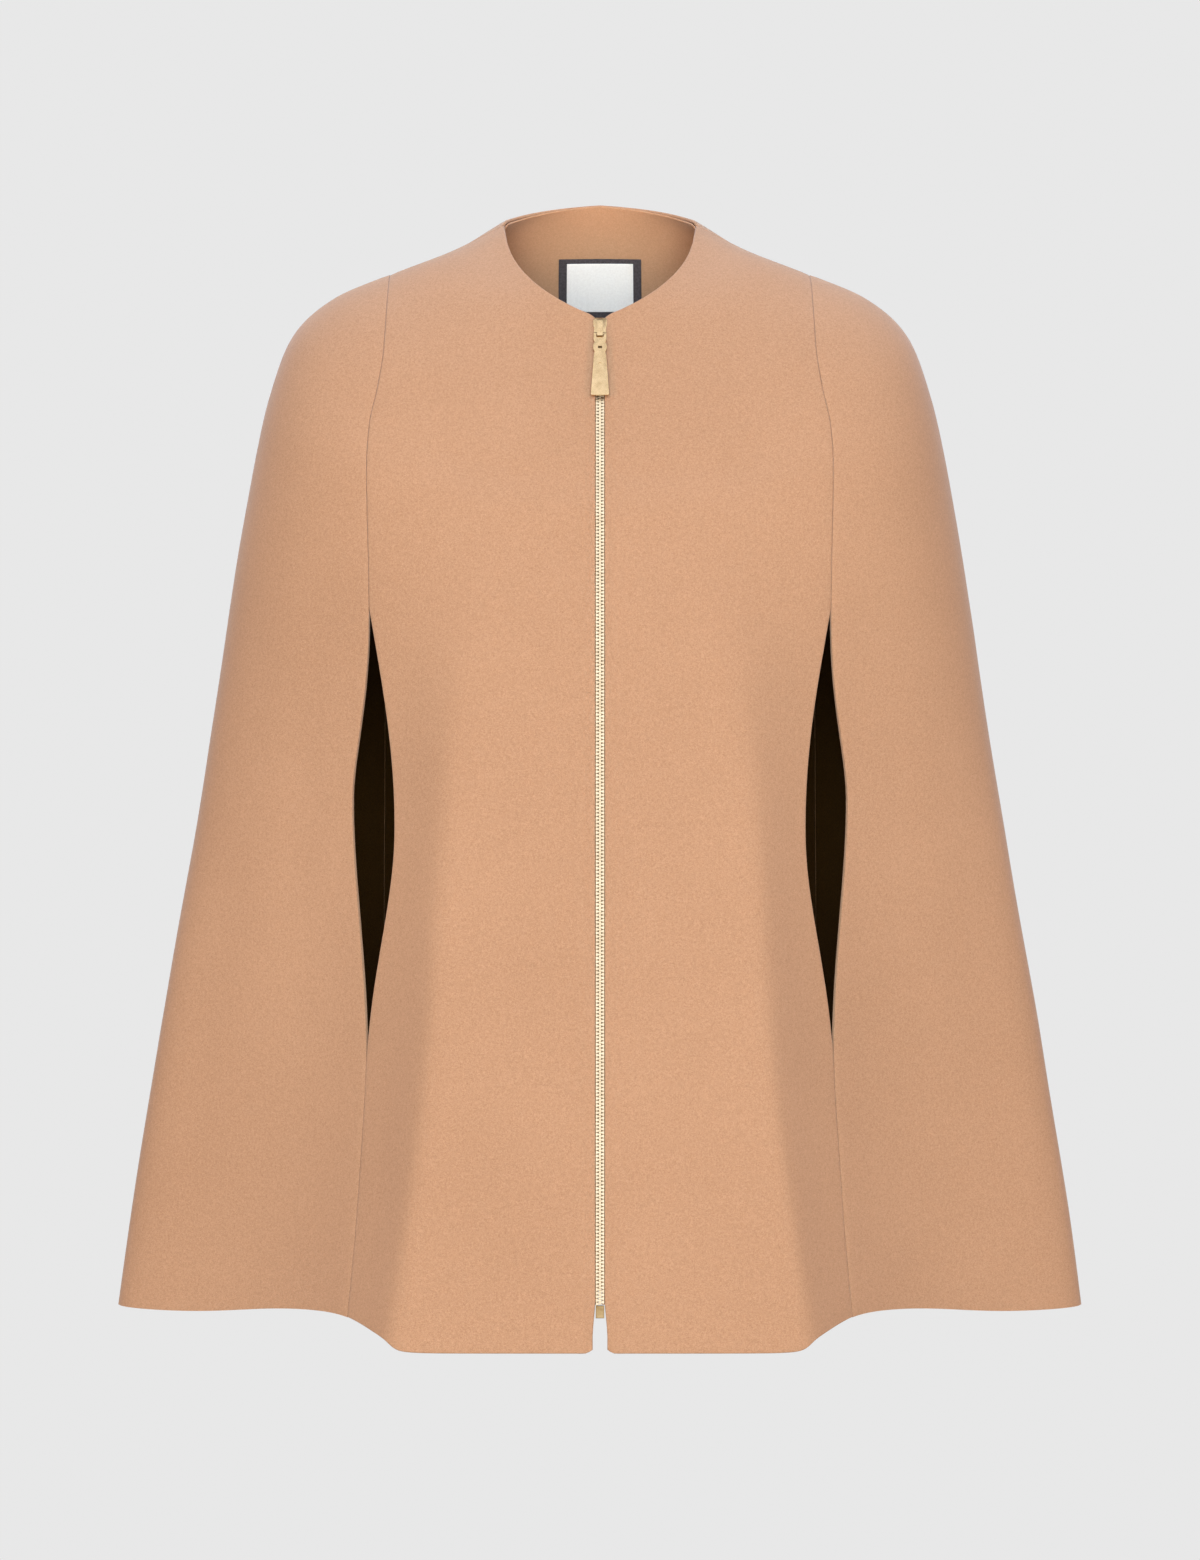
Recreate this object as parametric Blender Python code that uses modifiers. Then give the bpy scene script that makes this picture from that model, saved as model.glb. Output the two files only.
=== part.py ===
"""Zip-front cape coat in mink-coloured wool, held open as if it were worn.

Blender 4.5 script, metres, +Z up. The front faces -Y and the wearer's left is +X. The origin is
between the shoulders, level with the two points where the neckline crosses the shoulder seams.
Sizes below are in millimetres.
"""

import functools
import math
from collections import namedtuple

import bmesh
import bpy
import numpy as np
from mathutils import Matrix, Vector

MM = 0.001

# Cloth and how the pieces are parted
CLOTH = 2.2
FACING = 1.2
LINING = 1.0
TAPE = 1.0
SEAM_GAP = 0.3
TAPE_GAP = 0.45
FACING_GAP = 0.6
LINING_GAP = 1.3

# The garment's sections, from the neckline down to the hem. Each is one closed line round the body,
# high where it passes over the shoulders. Half widths are at the sides of the cape.
Outline = namedtuple("Outline", "side_z half_width square")
OUTLINES = [
    Outline(0, 69, 2.0),  # neckline
    Outline(-18, 105, 2.1),  # middle of the shoulder
    Outline(-36, 151, 2.2),  # end of the shoulder seam
    Outline(-54, 192, 2.3),  # shoulder round
    Outline(-80, 220, 2.4),  # shoulder point
    Outline(-126, 237.6, 2.6),  # upper arm
    Outline(-212, 255, 2.9),  # chest
    Outline(-277, 266, 3.0),  # top of the arm slits
    Outline(-421, 288.5, 3.0),  # middle of the arm slits
    Outline(-587, 317.5, 3.0),  # foot of the arm slits
    Outline(-688, 334, 3.0),  # hip
    Outline(-776, 346.3, 3.0),  # hem
]

# How far each section stands out in front of and behind the shoulder line. The cape reaches out by
# wing, and the body inside it by body and fold more. They end at the edge of a long fold at
# fold_x, rounded over edge, and fall away beyond it over spread. The hem and the sections above it
# are cut lower in the middle, by the same depths with the slopes body_run and fold_run.
Depth = namedtuple("Depth", "centre_z wing body body_run fold fold_x fold_run edge spread")
FRONTS = [
    Depth(-75, 78, 0, 30, 0, 30, 8, 8, 110),
    Depth(-100, 88, 0, 35, 0, 44, 12, 12, 110),
    Depth(-128, 99, 0, 40, 0, 58, 17, 16, 110),
    Depth(-155, 109, 0, 45, 0, 68, 21, 18, 110),
    Depth(-185, 119, 0, 50, 0, 75, 24, 20, 110),
    Depth(-222, 127, 3, 50, 0, 80, 26, 20, 110),
    Depth(-285, 112, 28, 45, 2, 88, 28, 16, 110),
    Depth(-335, 92, 48, 35, 7, 98, 24, 9, 105),
    Depth(-452, 64, 62, 24, 26, 109, 13, 4.5, 100),
    Depth(-598, 46, 65, 20, 47, 119, 8, 4, 105),
    Depth(-697, 40, 64, 18, 57, 131, 6.5, 3.5, 105),
    Depth(-790, 35, 64, 16, 66, 144, 5, 3.5, 105),
]
BACKS = [
    Depth(22, 55, 0, 30, 0, 30, 8, 8, 110),
    Depth(-10, 70, 0, 35, 0, 44, 12, 12, 110),
    Depth(-50, 87, 0, 40, 0, 58, 17, 16, 110),
    Depth(-92, 99, 0, 45, 0, 68, 21, 18, 110),
    Depth(-135, 106, 0, 50, 0, 75, 24, 20, 110),
    Depth(-182, 108, 2, 50, 0, 80, 26, 20, 110),
    Depth(-255, 100, 12, 45, 0, 86, 26, 17, 110),
    Depth(-310, 88, 26, 35, 2, 92, 24, 14, 110),
    Depth(-440, 68, 40, 26, 10, 102, 18, 10, 105),
    Depth(-593, 56, 46, 22, 24, 112, 13, 8, 100),
    Depth(-694, 52, 47, 20, 33, 120, 11, 7, 100),
    Depth(-783, 48, 48, 18, 42, 130, 10, 6, 100),
]
NECK, SHOULDER_END, HEM = 0, 2, 11
BODY_X = 166  # where the body falls away to the cape
# The hem of the cape lifts beside the fold, between two soft steps at an x and over a run
LIFT, LIFTED_FROM, LIFTED_TO = 11.5, (155, 18), (250, 45)
LIFT_FROM, LIFT_OVER = 7, 4  # levels by which it fades in

# The neckline drops in a soft V in front and rises round the back of the neck. The two front
# corners beside the zip are rounded off.
V_SHARE_FRONT, V_SHARE_BACK = 0.5, 0.3
SHOULDER_RISE, SHOULDER_REACH = 0.57, 0.15  # slope from front to back where it crosses the seam
CORNER_ROUND, CORNER_DROP = 9, 3.5
DRAPED_BY = 1.5  # level from which the sections follow the drape and no longer the neckline
CURVED_TO, STRAIGHTENING = 5, 3  # levels by which they dip evenly with the depth

# The seam between the body and the cape's side panels, seen from the front
SeamPoint = namedtuple("SeamPoint", "z x")
SEAM = [
    SeamPoint(-776, 175),
    SeamPoint(-690, 168),
    SeamPoint(-587, 162.5),
    SeamPoint(-280, 160.5),
    SeamPoint(-175, 162.5),
    SeamPoint(-150, 161),
    SeamPoint(-125, 156),
    SeamPoint(-92, 152),
    SeamPoint(-37, 151),
    SeamPoint(0, 151),
]

# The arm slits lie in the front seams. Each edge bows away from the seam by spread.
SLIT_TOP_Z, SLIT_FOOT_Z = -281, -598
Bow = namedtuple("Bow", "widest_z spread upper_power lower_power")
CAPE_EDGE = Bow(-414, 11.8, 2.2, 1.8)
BODY_EDGE = Bow(-438, 18.6, 1.0, 1.6)

# Zip
FRONT_EDGE_X = 3.1  # cloth edge to the middle, along the teeth
FOOT_EDGE_X = 5.0  # the same at the hem, below the zip
FOOT_ROUND = 14  # half the height over which the edge changes
TEETH_WIDTH, TEETH_PROUD, TEETH_DEPTH = 5.6, 0.4, 2.1
TAPE_INNER_X, TAPE_OUTER_X = 1.3, 15
SLIDER_LENGTH, SLIDER_TOP_Z = 16.8, -76.3
SLIDER_DROP = 0.93  # how far it falls for each mm of its length, on the slope of the chest
BOX_WIDTH, BOX_LENGTH, BOX_FOOT_Z, BOX_PROUD = 5.8, 8.6, -766, 0.9

# Label in the back of the neck
PATCH_WIDTH, PATCH_TOP, PATCH_FOOT = 62, -14, -60
LABEL_WIDTH, LABEL_TOP, LABEL_FOOT = 50, -17, -51.5
PATCH_THICK, LABEL_THICK, LABEL_GAP = 1.0, 0.6, 0.6

COLOURS = {
    "wool": ((0.66, 0.38, 0.22), 0.95, 0),
    "lining": ((0.03, 0.016, 0.006), 0.55, 0),
    "patch": ((0.05, 0.045, 0.05), 0.7, 0),
    "label": ((0.85, 0.85, 0.84), 0.4, 0),
    "tape": ((0.62, 0.40, 0.25), 0.85, 0),
    "brass": ((0.83, 0.66, 0.36), 0.28, 1),
}


def clear_scene():
    for obj in list(bpy.data.objects):
        bpy.data.objects.remove(obj)


def new_collection(name):
    collection = bpy.data.collections.new(name)
    bpy.context.scene.collection.children.link(collection)
    return collection


def new_material(name):
    colour, roughness, metallic = COLOURS[name]
    material = bpy.data.materials.new(name)
    material.use_nodes = True
    shader = material.node_tree.nodes["Principled BSDF"]
    shader.inputs["Base Color"].default_value = (*colour, 1)
    shader.inputs["Roughness"].default_value = roughness
    shader.inputs["Metallic"].default_value = metallic
    return material


# Smooth curves through the tables


def smooth_curve(knots, values):
    """A function that runs smoothly through the values and never swings past them."""
    knots = np.asarray(knots, float)
    values = np.asarray(values, float)
    step = np.diff(knots)
    slope = np.diff(values) / step
    tangent = np.append(slope, slope[-1])
    for i in range(1, len(slope)):
        before, after = slope[i - 1], slope[i]
        turns = before * after <= 0
        tangent[i] = 0 if turns else 2 * before * after / (before + after)

    def at(x):
        i = np.clip(np.searchsorted(knots, x, side="right") - 1, 0, len(step) - 1)
        t = (x - knots[i]) / step[i]
        rise = (1 + 2 * t) * (1 - t) ** 2 * values[i] + t**2 * (3 - 2 * t) * values[i + 1]
        lean = t * (1 - t) ** 2 * tangent[i] + t**2 * (t - 1) * tangent[i + 1]
        return rise + lean * step[i]

    return at


def table_curves(rows):
    """Each column of a table of sections as a smooth curve over the section's number."""
    numbers = range(len(rows))
    return {
        column: smooth_curve(numbers, [getattr(row, column) for row in rows])
        for column in rows[0]._fields
    }


outline_at = table_curves(OUTLINES)
front_at = table_curves(FRONTS)
back_at = table_curves(BACKS)
seam_x_at = smooth_curve([p.z for p in SEAM], [p.x for p in SEAM])


def ease(t):
    t = np.clip(t, 0, 1)
    return t * t * (3 - 2 * t)


def falls_away(x, centre, run):
    return 0.5 * (1 - np.tanh((x - centre) / run))


# One section, from the middle of the front or back out to the side. A level runs from NECK to HEM.

SAMPLES = 260
NUDGE = 0.004  # levels either side for the slope


def section_points(level, front):
    depth_at = front_at if front else back_at
    turn = np.linspace(0, math.pi / 2, SAMPLES)
    width = outline_at["half_width"](level)
    square = outline_at["square"](level)
    x = width * np.sin(turn)
    arc = np.clip(1 - (x / width) ** square, 0, 1) ** (1 / square)
    wing = depth_at["wing"](level) * arc
    body, fold = depth_at["body"](level), depth_at["fold"](level)
    fold_x = depth_at["fold_x"](level)
    hem = (
        wing
        + body * falls_away(x, BODY_X, depth_at["body_run"](level))
        + fold * falls_away(x, fold_x, depth_at["fold_run"](level))
    )
    edge, spread = depth_at["edge"](level), depth_at["spread"](level)
    stands = np.exp(-edge * np.logaddexp(0, (x - fold_x) / edge) / spread)
    depth = wing + (body + fold) * (stands - stands[-1]) / (stands[0] - stands[-1])
    v_share = V_SHARE_FRONT if front else V_SHARE_BACK
    inward = 1 - turn / (math.pi / 2)
    neckline = (1 - v_share) * np.cos(turn) + v_share * inward
    drape = (hem / hem[0]) ** (2 - ease((level - CURVED_TO) / STRAIGHTENING))
    draped = ease(level / DRAPED_BY)
    share = neckline + (drape - neckline) * draped
    side_z = outline_at["side_z"](level)
    drop = depth_at["centre_z"](level) - side_z
    rise = SHOULDER_RISE * depth_at["wing"](level) * math.pi / 2
    lean = (-rise if front else rise) - drop * ((1 - v_share) * math.pi / 2 + v_share)
    smoothing = (1 - draped) * lean * inward * np.exp(-((inward / SHOULDER_REACH) ** 2))
    lifted = falls_away(x, *LIFTED_TO) - falls_away(x, *LIFTED_FROM)
    z = side_z + drop * share + smoothing + LIFT * ease((level - LIFT_FROM) / LIFT_OVER) * lifted
    if front:
        z = z - CORNER_DROP * ease(1 - level * 2) * np.clip(1 - x / CORNER_ROUND, 0, 1) ** 2
    return np.column_stack([x, -depth if front else depth, z])


Section = namedtuple("Section", "rows lengths")


@functools.lru_cache(maxsize=None)
def half_section(level, front):
    """Rows of a point and its outward normal, x, y and z each, and their lengths from the middle."""
    points = section_points(level, front)
    above = section_points(max(level - NUDGE, NECK), front)
    below = section_points(min(level + NUDGE, HEM), front)
    normals = np.cross(np.gradient(points, axis=0), below - above)
    normals *= (-1 if front else 1) / np.linalg.norm(normals, axis=1)[:, None]
    steps = np.linalg.norm(np.diff(points, axis=0), axis=1)
    return Section(np.hstack([points, normals]), np.concatenate([[0], np.cumsum(steps)]))


def rows_where(rows, key, wanted):
    """The section's rows where key, a number that grows along it, has the wanted values."""
    return np.column_stack([np.interp(wanted, key, column) for column in rows.T])


def level_at(z, x, front):
    """The level whose section is at height z where it passes x."""
    low, high = NECK, HEM
    for _ in range(40):
        level = (low + high) / 2
        rows = half_section(level, front).rows
        if np.interp(x, rows[:, 0], rows[:, 2]) > z:
            low = level
        else:
            high = level
    return level


def bow(z, edge):
    """How far an edge of the slit bows away from the seam at a height."""
    above = (SLIT_TOP_Z - z) / (SLIT_TOP_Z - edge.widest_z)
    below = (z - SLIT_FOOT_Z) / (edge.widest_z - SLIT_FOOT_Z)
    rise = np.where(
        z > edge.widest_z,
        np.clip(above, 0, 1) ** edge.upper_power,
        np.clip(below, 0, 1) ** edge.lower_power,
    )
    return edge.spread * np.sin(rise * math.pi / 2)


def seam_length(section, front, outward):
    """The section's length where it crosses the seam's body side or cape side, if it does."""
    rows, lengths = section
    edge = seam_x_at(rows[:, 2]) + outward * SEAM_GAP / 2
    if front:
        edge = edge + outward * bow(rows[:, 2], CAPE_EDGE if outward > 0 else BODY_EDGE)
    past = rows[:, 0] - edge
    if past[-1] < 0:
        return lengths[-1] - SEAM_GAP / 2
    return float(np.interp(0, past, lengths))


# Panels: each gives rows of a point and its normal at places across it, from 0 to 1, and a level.
# On the body, the lines that run down start from the neckline or, beyond it, from the shoulder
# seam, and the levels above FANNED are shared out along each. Those lines run straight down to
# begin with, and by STRAIGHT_TO + BENDING they are spread along the cloth, closer on the fold.

FANNED = 3.2
STRAIGHT_TO, BENDING = 3, 3
SHARES = (0, 5 / 12, 9 / 12, 1)  # of the columns: before the neck point or fold, on it, to the seam
FOLD_REACH = 1.6  # runs either side of the fold that its columns cover
SECOND_ROW = 0.05

shoulder_levels = np.linspace(NECK, SHOULDER_END + 0.2, 500)
shoulder_widths = outline_at["half_width"](shoulder_levels)
past_seam = shoulder_widths - seam_x_at(outline_at["side_z"](shoulder_levels))
SHOULDER_TIP, CAPE_TIP = np.interp([-SEAM_GAP / 2, SEAM_GAP / 2], past_seam, shoulder_levels)
NECK_X = OUTLINES[NECK].half_width
TIP_X = float(np.interp(SHOULDER_TIP, shoulder_levels, shoulder_widths))


def fanned(level, top):
    """The section that a row of the body meets on a line that starts at the top level."""
    return float(top + level / FANNED * (FANNED - top)) if level < FANNED else level


CAP_START = fanned(SECOND_ROW, SHOULDER_TIP)


def front_edge(z):
    """The cloth's edge beside the zip, and beside the open foot below it."""
    opening = ease((BOX_FOOT_Z + FOOT_ROUND - z) / (2 * FOOT_ROUND))
    return FRONT_EDGE_X + (FOOT_EDGE_X - FRONT_EDGE_X) * opening


def column_x(share, level, front, start_x, end):
    """Where a line that runs down the body crosses a section that ends at the seam."""
    rows, lengths = half_section(level, front)
    end_x = np.interp(end, lengths, rows[:, 0])
    straight = np.interp(share, (0, SHARES[1], 1), (start_x, NECK_X, end_x))
    depth_at = front_at if front else back_at
    reach = FOLD_REACH * depth_at["edge"](level)
    fold_x = depth_at["fold_x"](level)
    start, near, far = np.interp([start_x, fold_x - reach, fold_x + reach], rows[:, 0], lengths)
    near = np.clip(near, start + 0.1 * (end - start), start + 0.6 * (end - start))
    far = np.clip(far, near + 0.1 * (end - start), end - 0.1 * (end - start))
    spread = np.interp(np.interp(share, SHARES, (start, near, far, end)), lengths, rows[:, 0])
    return straight + (spread - straight) * ease((level - STRAIGHT_TO) / BENDING)


def body_point(share, row_level, front):
    """A point of the front or back, its share of the way from the middle to the seam."""
    top_x = np.interp(share, (SHARES[1], 1), (NECK_X, TIP_X))
    level = fanned(row_level, np.interp(top_x, shoulder_widths, shoulder_levels))
    section = half_section(level, front)
    rows, lengths = section
    start_x = front_edge(rows[0, 2]) if front else 0
    if row_level == NECK and share >= SHARES[1]:
        return rows_where(rows, lengths, [lengths[-1] - SEAM_GAP / 2])[0]
    if level < SHOULDER_TIP:
        x = np.interp(share, (0, SHARES[1], 1), (start_x, NECK_X, TIP_X))
        return rows_where(rows, rows[:, 0], [x])[0]
    end = seam_length(section, front, -1)
    if share == 1:
        return rows_where(rows, lengths, [end])[0]
    return rows_where(rows, rows[:, 0], [column_x(share, level, front, start_x, end)])[0]


def front_panel(across, level):
    return np.array([body_point(share, level, True) for share in across])


def back_panel(across, level):
    outward = across * 2 - 1
    found = np.array([body_point(share, level, False) for share in np.round(abs(outward), 9)])
    found[:, [0, 3]] *= np.sign(outward)[:, None]
    return found


def cape_point(share, level, front):
    """A point of the cape, its share of the way from the side to the seam."""
    if level <= CAP_START:
        section = half_section(float(CAPE_TIP + (CAP_START - CAPE_TIP) * share**2), front)
        return rows_where(*section, [seam_length(section, front, 1)])[0]
    section = half_section(level, front)
    rows, lengths = section
    start = seam_length(section, front, 1)
    return rows_where(rows, lengths, [lengths[-1] - share * (lengths[-1] - start)])[0]


def cape_panel(across, level):
    """From the front seam out to the side and back. The first row is the seam at the shoulder."""
    return np.array([cape_point(abs(1 - 2 * place), level, place <= 0.5) for place in across])


def strip(inner_x, outer_x, front):
    """A panel between two lines that run down the front or the back."""

    def panel(across, level):
        x = inner_x + (outer_x - inner_x) * across
        rows = half_section(level, front).rows
        found = rows_where(rows, rows[:, 0], abs(x))
        found[:, [0, 3]] *= np.where(x < 0, -1, 1)[:, None]
        return found

    return panel


# Walls of cloth


def columns(count):
    """Evenly spaced places across a panel."""
    return np.linspace(0, 1, count + 1)


def wall(name, panel, levels, across, depths, material, mirrored=False):
    """A closed wall between two depths under a panel's surface."""
    last_row, last_column = len(levels) - 1, len(across) - 1
    rows = np.array([panel(across, level) for level in levels])
    if mirrored:
        rows[..., [0, 3]] *= -1
    bm = bmesh.new()
    bmesh.ops.create_grid(bm, x_segments=last_column, y_segments=last_row, size=1)
    outer = list(bm.verts)
    grown = bmesh.ops.extrude_face_region(bm, geom=bm.faces[:], use_keep_orig=True)["geom"]
    inner = [v for v in grown if isinstance(v, bmesh.types.BMVert)]
    for verts, depth in ((outer, depths[0]), (inner, depths[1])):
        for vert in verts:
            row = round((vert.co.y + 1) / 2 * last_row)
            column = round((vert.co.x + 1) / 2 * last_column)
            point, normal = rows[row, column, :3], rows[row, column, 3:]
            vert.co = Vector(point - normal * depth) * MM
    bmesh.ops.recalc_face_normals(bm, faces=bm.faces[:])
    return add_part(name, mesh_from(bm, name), material)


def add_part(name, mesh, material):
    mesh.materials.append(materials[material])
    mesh.shade_smooth()
    mesh.set_sharp_from_angle(angle=math.radians(35))
    obj = bpy.data.objects.new(name, mesh)
    parts.objects.link(obj)
    return obj


TOP_LEVELS = [NECK, SECOND_ROW, 0.17, 0.34, 0.6, 0.92, 1.3, 1.75, 2.25, 2.75, FANNED]
UPPER_LEVELS = [3.6, 4, 4.5, 5, 5.5, 6.1]
SLIT_LEVELS = [6.7, 6.95, 7.15, 7.35, 7.55, 7.75, 7.95, 8.15, 8.35, 8.55, 8.75, 8.93, 9.08]
SKIRT_LEVELS = [9.3, 9.8, 10.3, 10.7, HEM]
BODY_LEVELS = TOP_LEVELS + UPPER_LEVELS + SLIT_LEVELS + SKIRT_LEVELS
FACING_FOOT, LINING_TOP, LINING_FOOT = 2.3, 2.4, 10.8
LINED_FROM = 4  # the cape's lining starts this many columns from its front edge
CAPE_LEVELS = [fanned(level, SHOULDER_TIP) for level in BODY_LEVELS[1:]]


def build_cloth():
    for side, mirrored in (("left", False), ("right", True)):
        wall(f"front_{side}", front_panel, BODY_LEVELS, columns(12), (0, CLOTH), "wool", mirrored)
        wall(f"cape_{side}", cape_panel, CAPE_LEVELS, columns(18), (0, CLOTH), "wool", mirrored)
    wall("back", back_panel, BODY_LEVELS, columns(24), (0, CLOTH), "wool")


def build_inside():
    """The neck facing, and the dark lining that shows through the arm slits."""
    facing = (CLOTH + FACING_GAP, CLOTH + FACING_GAP + FACING)
    levels = [level for level in BODY_LEVELS if level < FACING_FOOT]
    wall("back_neck_facing", back_panel, levels, columns(24)[2:-2], facing, "wool")
    lining = (CLOTH + LINING_GAP, CLOTH + LINING_GAP + LINING)
    levels = [LINING_TOP] + [level for level in BODY_LEVELS if 3 < level < LINING_FOOT][::2]
    wall("lining_back", back_panel, levels, columns(24)[1:-1], lining, "lining")
    levels = [level for level in CAPE_LEVELS if LINING_TOP < level < LINING_FOOT][::2]
    across = columns(18)[LINED_FROM:-1]
    for side, mirrored in (("left", False), ("right", True)):
        wall(f"lining_cape_{side}", cape_panel, levels, across, lining, "lining", mirrored)


def build_label():
    """A dark patch on the facing with a white satin label on it."""
    depth = CLOTH + FACING_GAP + FACING
    for name, width, top_z, foot_z, thick, material in (
        ("label_patch", PATCH_WIDTH, PATCH_TOP, PATCH_FOOT, PATCH_THICK, "patch"),
        ("label", LABEL_WIDTH, LABEL_TOP, LABEL_FOOT, LABEL_THICK, "label"),
    ):
        depth += LABEL_GAP
        levels = np.linspace(level_at(top_z, 0, False), level_at(foot_z, 0, False), 7)
        panel = strip(-width / 2, width / 2, False)
        wall(name, panel, levels, columns(8), (depth, depth + thick), material)
        depth += thick


def build_zip():
    """Tapes behind the fronts, the closed teeth between them, and the box at their foot."""
    slider_foot = chest_point(SLIDER_LENGTH)[2]
    top = level_at(SLIDER_TOP_Z, FRONT_EDGE_X, True)
    below_slider = level_at(slider_foot - 2 * SEAM_GAP, 0, True)
    box_top = level_at(BOX_FOOT_Z + BOX_LENGTH, 0, True)
    foot = level_at(BOX_FOOT_Z + BOX_LENGTH + SEAM_GAP, 0, True)
    under = (CLOTH + TAPE_GAP, CLOTH + TAPE_GAP + TAPE)
    levels = [top] + [level for level in BODY_LEVELS if top + 0.1 < level < foot - 0.05] + [foot]
    tape = strip(TAPE_INNER_X, TAPE_OUTER_X, True)
    for side, mirrored in (("left", False), ("right", True)):
        wall(f"zip_tape_{side}", tape, levels, columns(1), under, "tape", mirrored)
    levels = [below_slider] + [level for level in levels if level > below_slider + 0.1]
    teeth = strip(-TEETH_WIDTH / 2, TEETH_WIDTH / 2, True)
    wall("zip_teeth", teeth, levels, columns(2), (-TEETH_PROUD, TEETH_DEPTH), "brass")
    block = strip(-BOX_WIDTH / 2, BOX_WIDTH / 2, True)
    levels = [box_top, level_at(BOX_FOOT_Z, 0, True)]
    box = wall("zip_box", block, levels, columns(1), (-BOX_PROUD, TEETH_DEPTH), "brass")
    bevel(box, 0.6, 2)


def bevel(obj, width, segments):
    modifier = obj.modifiers.new("rounded edges", "BEVEL")
    modifier.width = width * MM
    modifier.segments = segments
    modifier.limit_method = "ANGLE"
    modifier.angle_limit = math.radians(40)


# Slider and pull, made upright and then laid along the slope of the chest. Outlines of plates are
# right halves in X and Z, from the top down, and the bridge's is its side in Y and Z.

SHIELD = [(3.4, 0), (4.9, -1.6), (4.9, -5.2), (4.3, -8.5), (4.3, -16), (3.5, -SLIDER_LENGTH)]
PLATE_FRONT, PLATE_BACK = -1.8, -0.5  # depths from the cloth's face, which is 0
REAR_FRONT, REAR_BACK = 4.4, 5.4
POST_HALF, POST_TOP, POST_FOOT = 0.9, -0.4, -6.5  # joins the plates between the tapes
SUNK = 0.4  # how far pieces that are joined reach into each other

BAR_ROOM, BAR_Z = 0.85, -13.2  # radius that the pull's bar turns in, and where it hangs
BAR_Y = PLATE_FRONT - SEAM_GAP - BAR_ROOM
ARCH_UNDER = BAR_Y - BAR_ROOM - SEAM_GAP
ARCH_FACE = ARCH_UNDER - 1.1
ARCH_HALF, ARCH_TOP, ARCH_FOOT = 2.0, -0.8, -15.6
ARCH_SIDE = [
    (PLATE_FRONT + SUNK, ARCH_TOP),
    (ARCH_UNDER + 0.9, ARCH_TOP),
    (ARCH_FACE + 0.3, ARCH_TOP - 1.5),
    (ARCH_FACE, ARCH_TOP - 3),
    (ARCH_FACE, ARCH_FOOT + 1.5),
    (ARCH_FACE + 0.8, ARCH_FOOT),
    (PLATE_FRONT + SUNK, ARCH_FOOT),
    (PLATE_FRONT + SUNK, ARCH_FOOT + 1.1),
    (ARCH_UNDER + 0.3, ARCH_FOOT + 1.1),
    (ARCH_UNDER, ARCH_FOOT + 1.6),
    (ARCH_UNDER, ARCH_TOP - 3.4),
    (ARCH_UNDER + 0.9, ARCH_TOP - 2.2),
    (PLATE_FRONT + SUNK, ARCH_TOP - 2.2),
]

# The pull is drawn from its bar's axis, which is z = 0
PULL_HALF = 0.7  # half its thickness, and half the bar's height
LINK_TOP, LINK_FOOT, TAB_FOOT = -7.2, -15.0, -48.9
PULL = [
    (4.2, PULL_HALF),
    (4.5, PULL_HALF - 0.5),
    (4.5, LINK_TOP + 1.7),
    (3.7, LINK_TOP),
    (4.8, LINK_TOP - 1.8),
    (4.8, LINK_FOOT + 2.8),
    (3.7, LINK_FOOT),
    (4.3, LINK_FOOT - 1.6),
    (6.4, TAB_FOOT + 0.6),
    (5.8, TAB_FOOT),
]
WINDOW = [(2.6, -PULL_HALF), (2.6, -3.5)]
SLOT = [(1.4, LINK_TOP - 3.1), (1.4, LINK_TOP - 4.9)]
RECESS = [
    (0.5, LINK_FOOT - 8.4),
    (1.2, LINK_FOOT - 9.1),
    (1.2, TAB_FOOT + 5.5),
    (0.5, TAB_FOOT + 4.8),
]
RECESS_DEPTH = 0.4


def chest_point(down):
    """The cloth's edge beside the teeth, a length below the slider's top."""
    z = SLIDER_TOP_Z - down * SLIDER_DROP
    rows = half_section(level_at(z, FRONT_EDGE_X, True), True).rows
    return rows_where(rows, rows[:, 0], [FRONT_EDGE_X])[0, :3] * (0, 1, 1)


def chest_frame():
    """Lays a piece whose top is the origin and whose length runs down -Z along the chest."""
    top, foot = chest_point(0), chest_point(SLIDER_LENGTH)
    slope = math.atan2(top[1] - foot[1], top[2] - foot[2])
    return Matrix.Translation(Vector(top) * MM) @ Matrix.Rotation(-slope, 4, "X")


def extruded(corners, along):
    """A flat outline given a thickness."""
    bm = bmesh.new()
    face = bm.faces.new([bm.verts.new(Vector(corner) * MM) for corner in corners])
    grown = bmesh.ops.extrude_face_region(bm, geom=[face], use_keep_orig=True)["geom"]
    moved = [v for v in grown if isinstance(v, bmesh.types.BMVert)]
    bmesh.ops.translate(bm, verts=moved, vec=Vector(along) * MM)
    bmesh.ops.recalc_face_normals(bm, faces=bm.faces[:])
    return bm


def plate(right, front_y, back_y):
    """A symmetric plate that faces -Y, from the right half of its outline."""
    outline = right + [(-x, z) for x, z in reversed(right)]
    return extruded([(x, front_y, z) for x, z in outline], (0, back_y - front_y, 0))


def mesh_from(bm, name):
    mesh = bpy.data.meshes.new(name)
    bm.to_mesh(mesh)
    bm.free()
    return mesh


def helper(name, bm, matrix):
    """An unseen piece for a Boolean."""
    obj = bpy.data.objects.new(name, mesh_from(bm, name))
    obj.matrix_world = matrix
    obj.hide_render = True
    obj.display_type = "WIRE"
    cutters.objects.link(obj)
    return obj


def boolean(obj, other, operation):
    modifier = obj.modifiers.new(other.name, "BOOLEAN")
    modifier.object = other
    modifier.operation = operation


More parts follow.
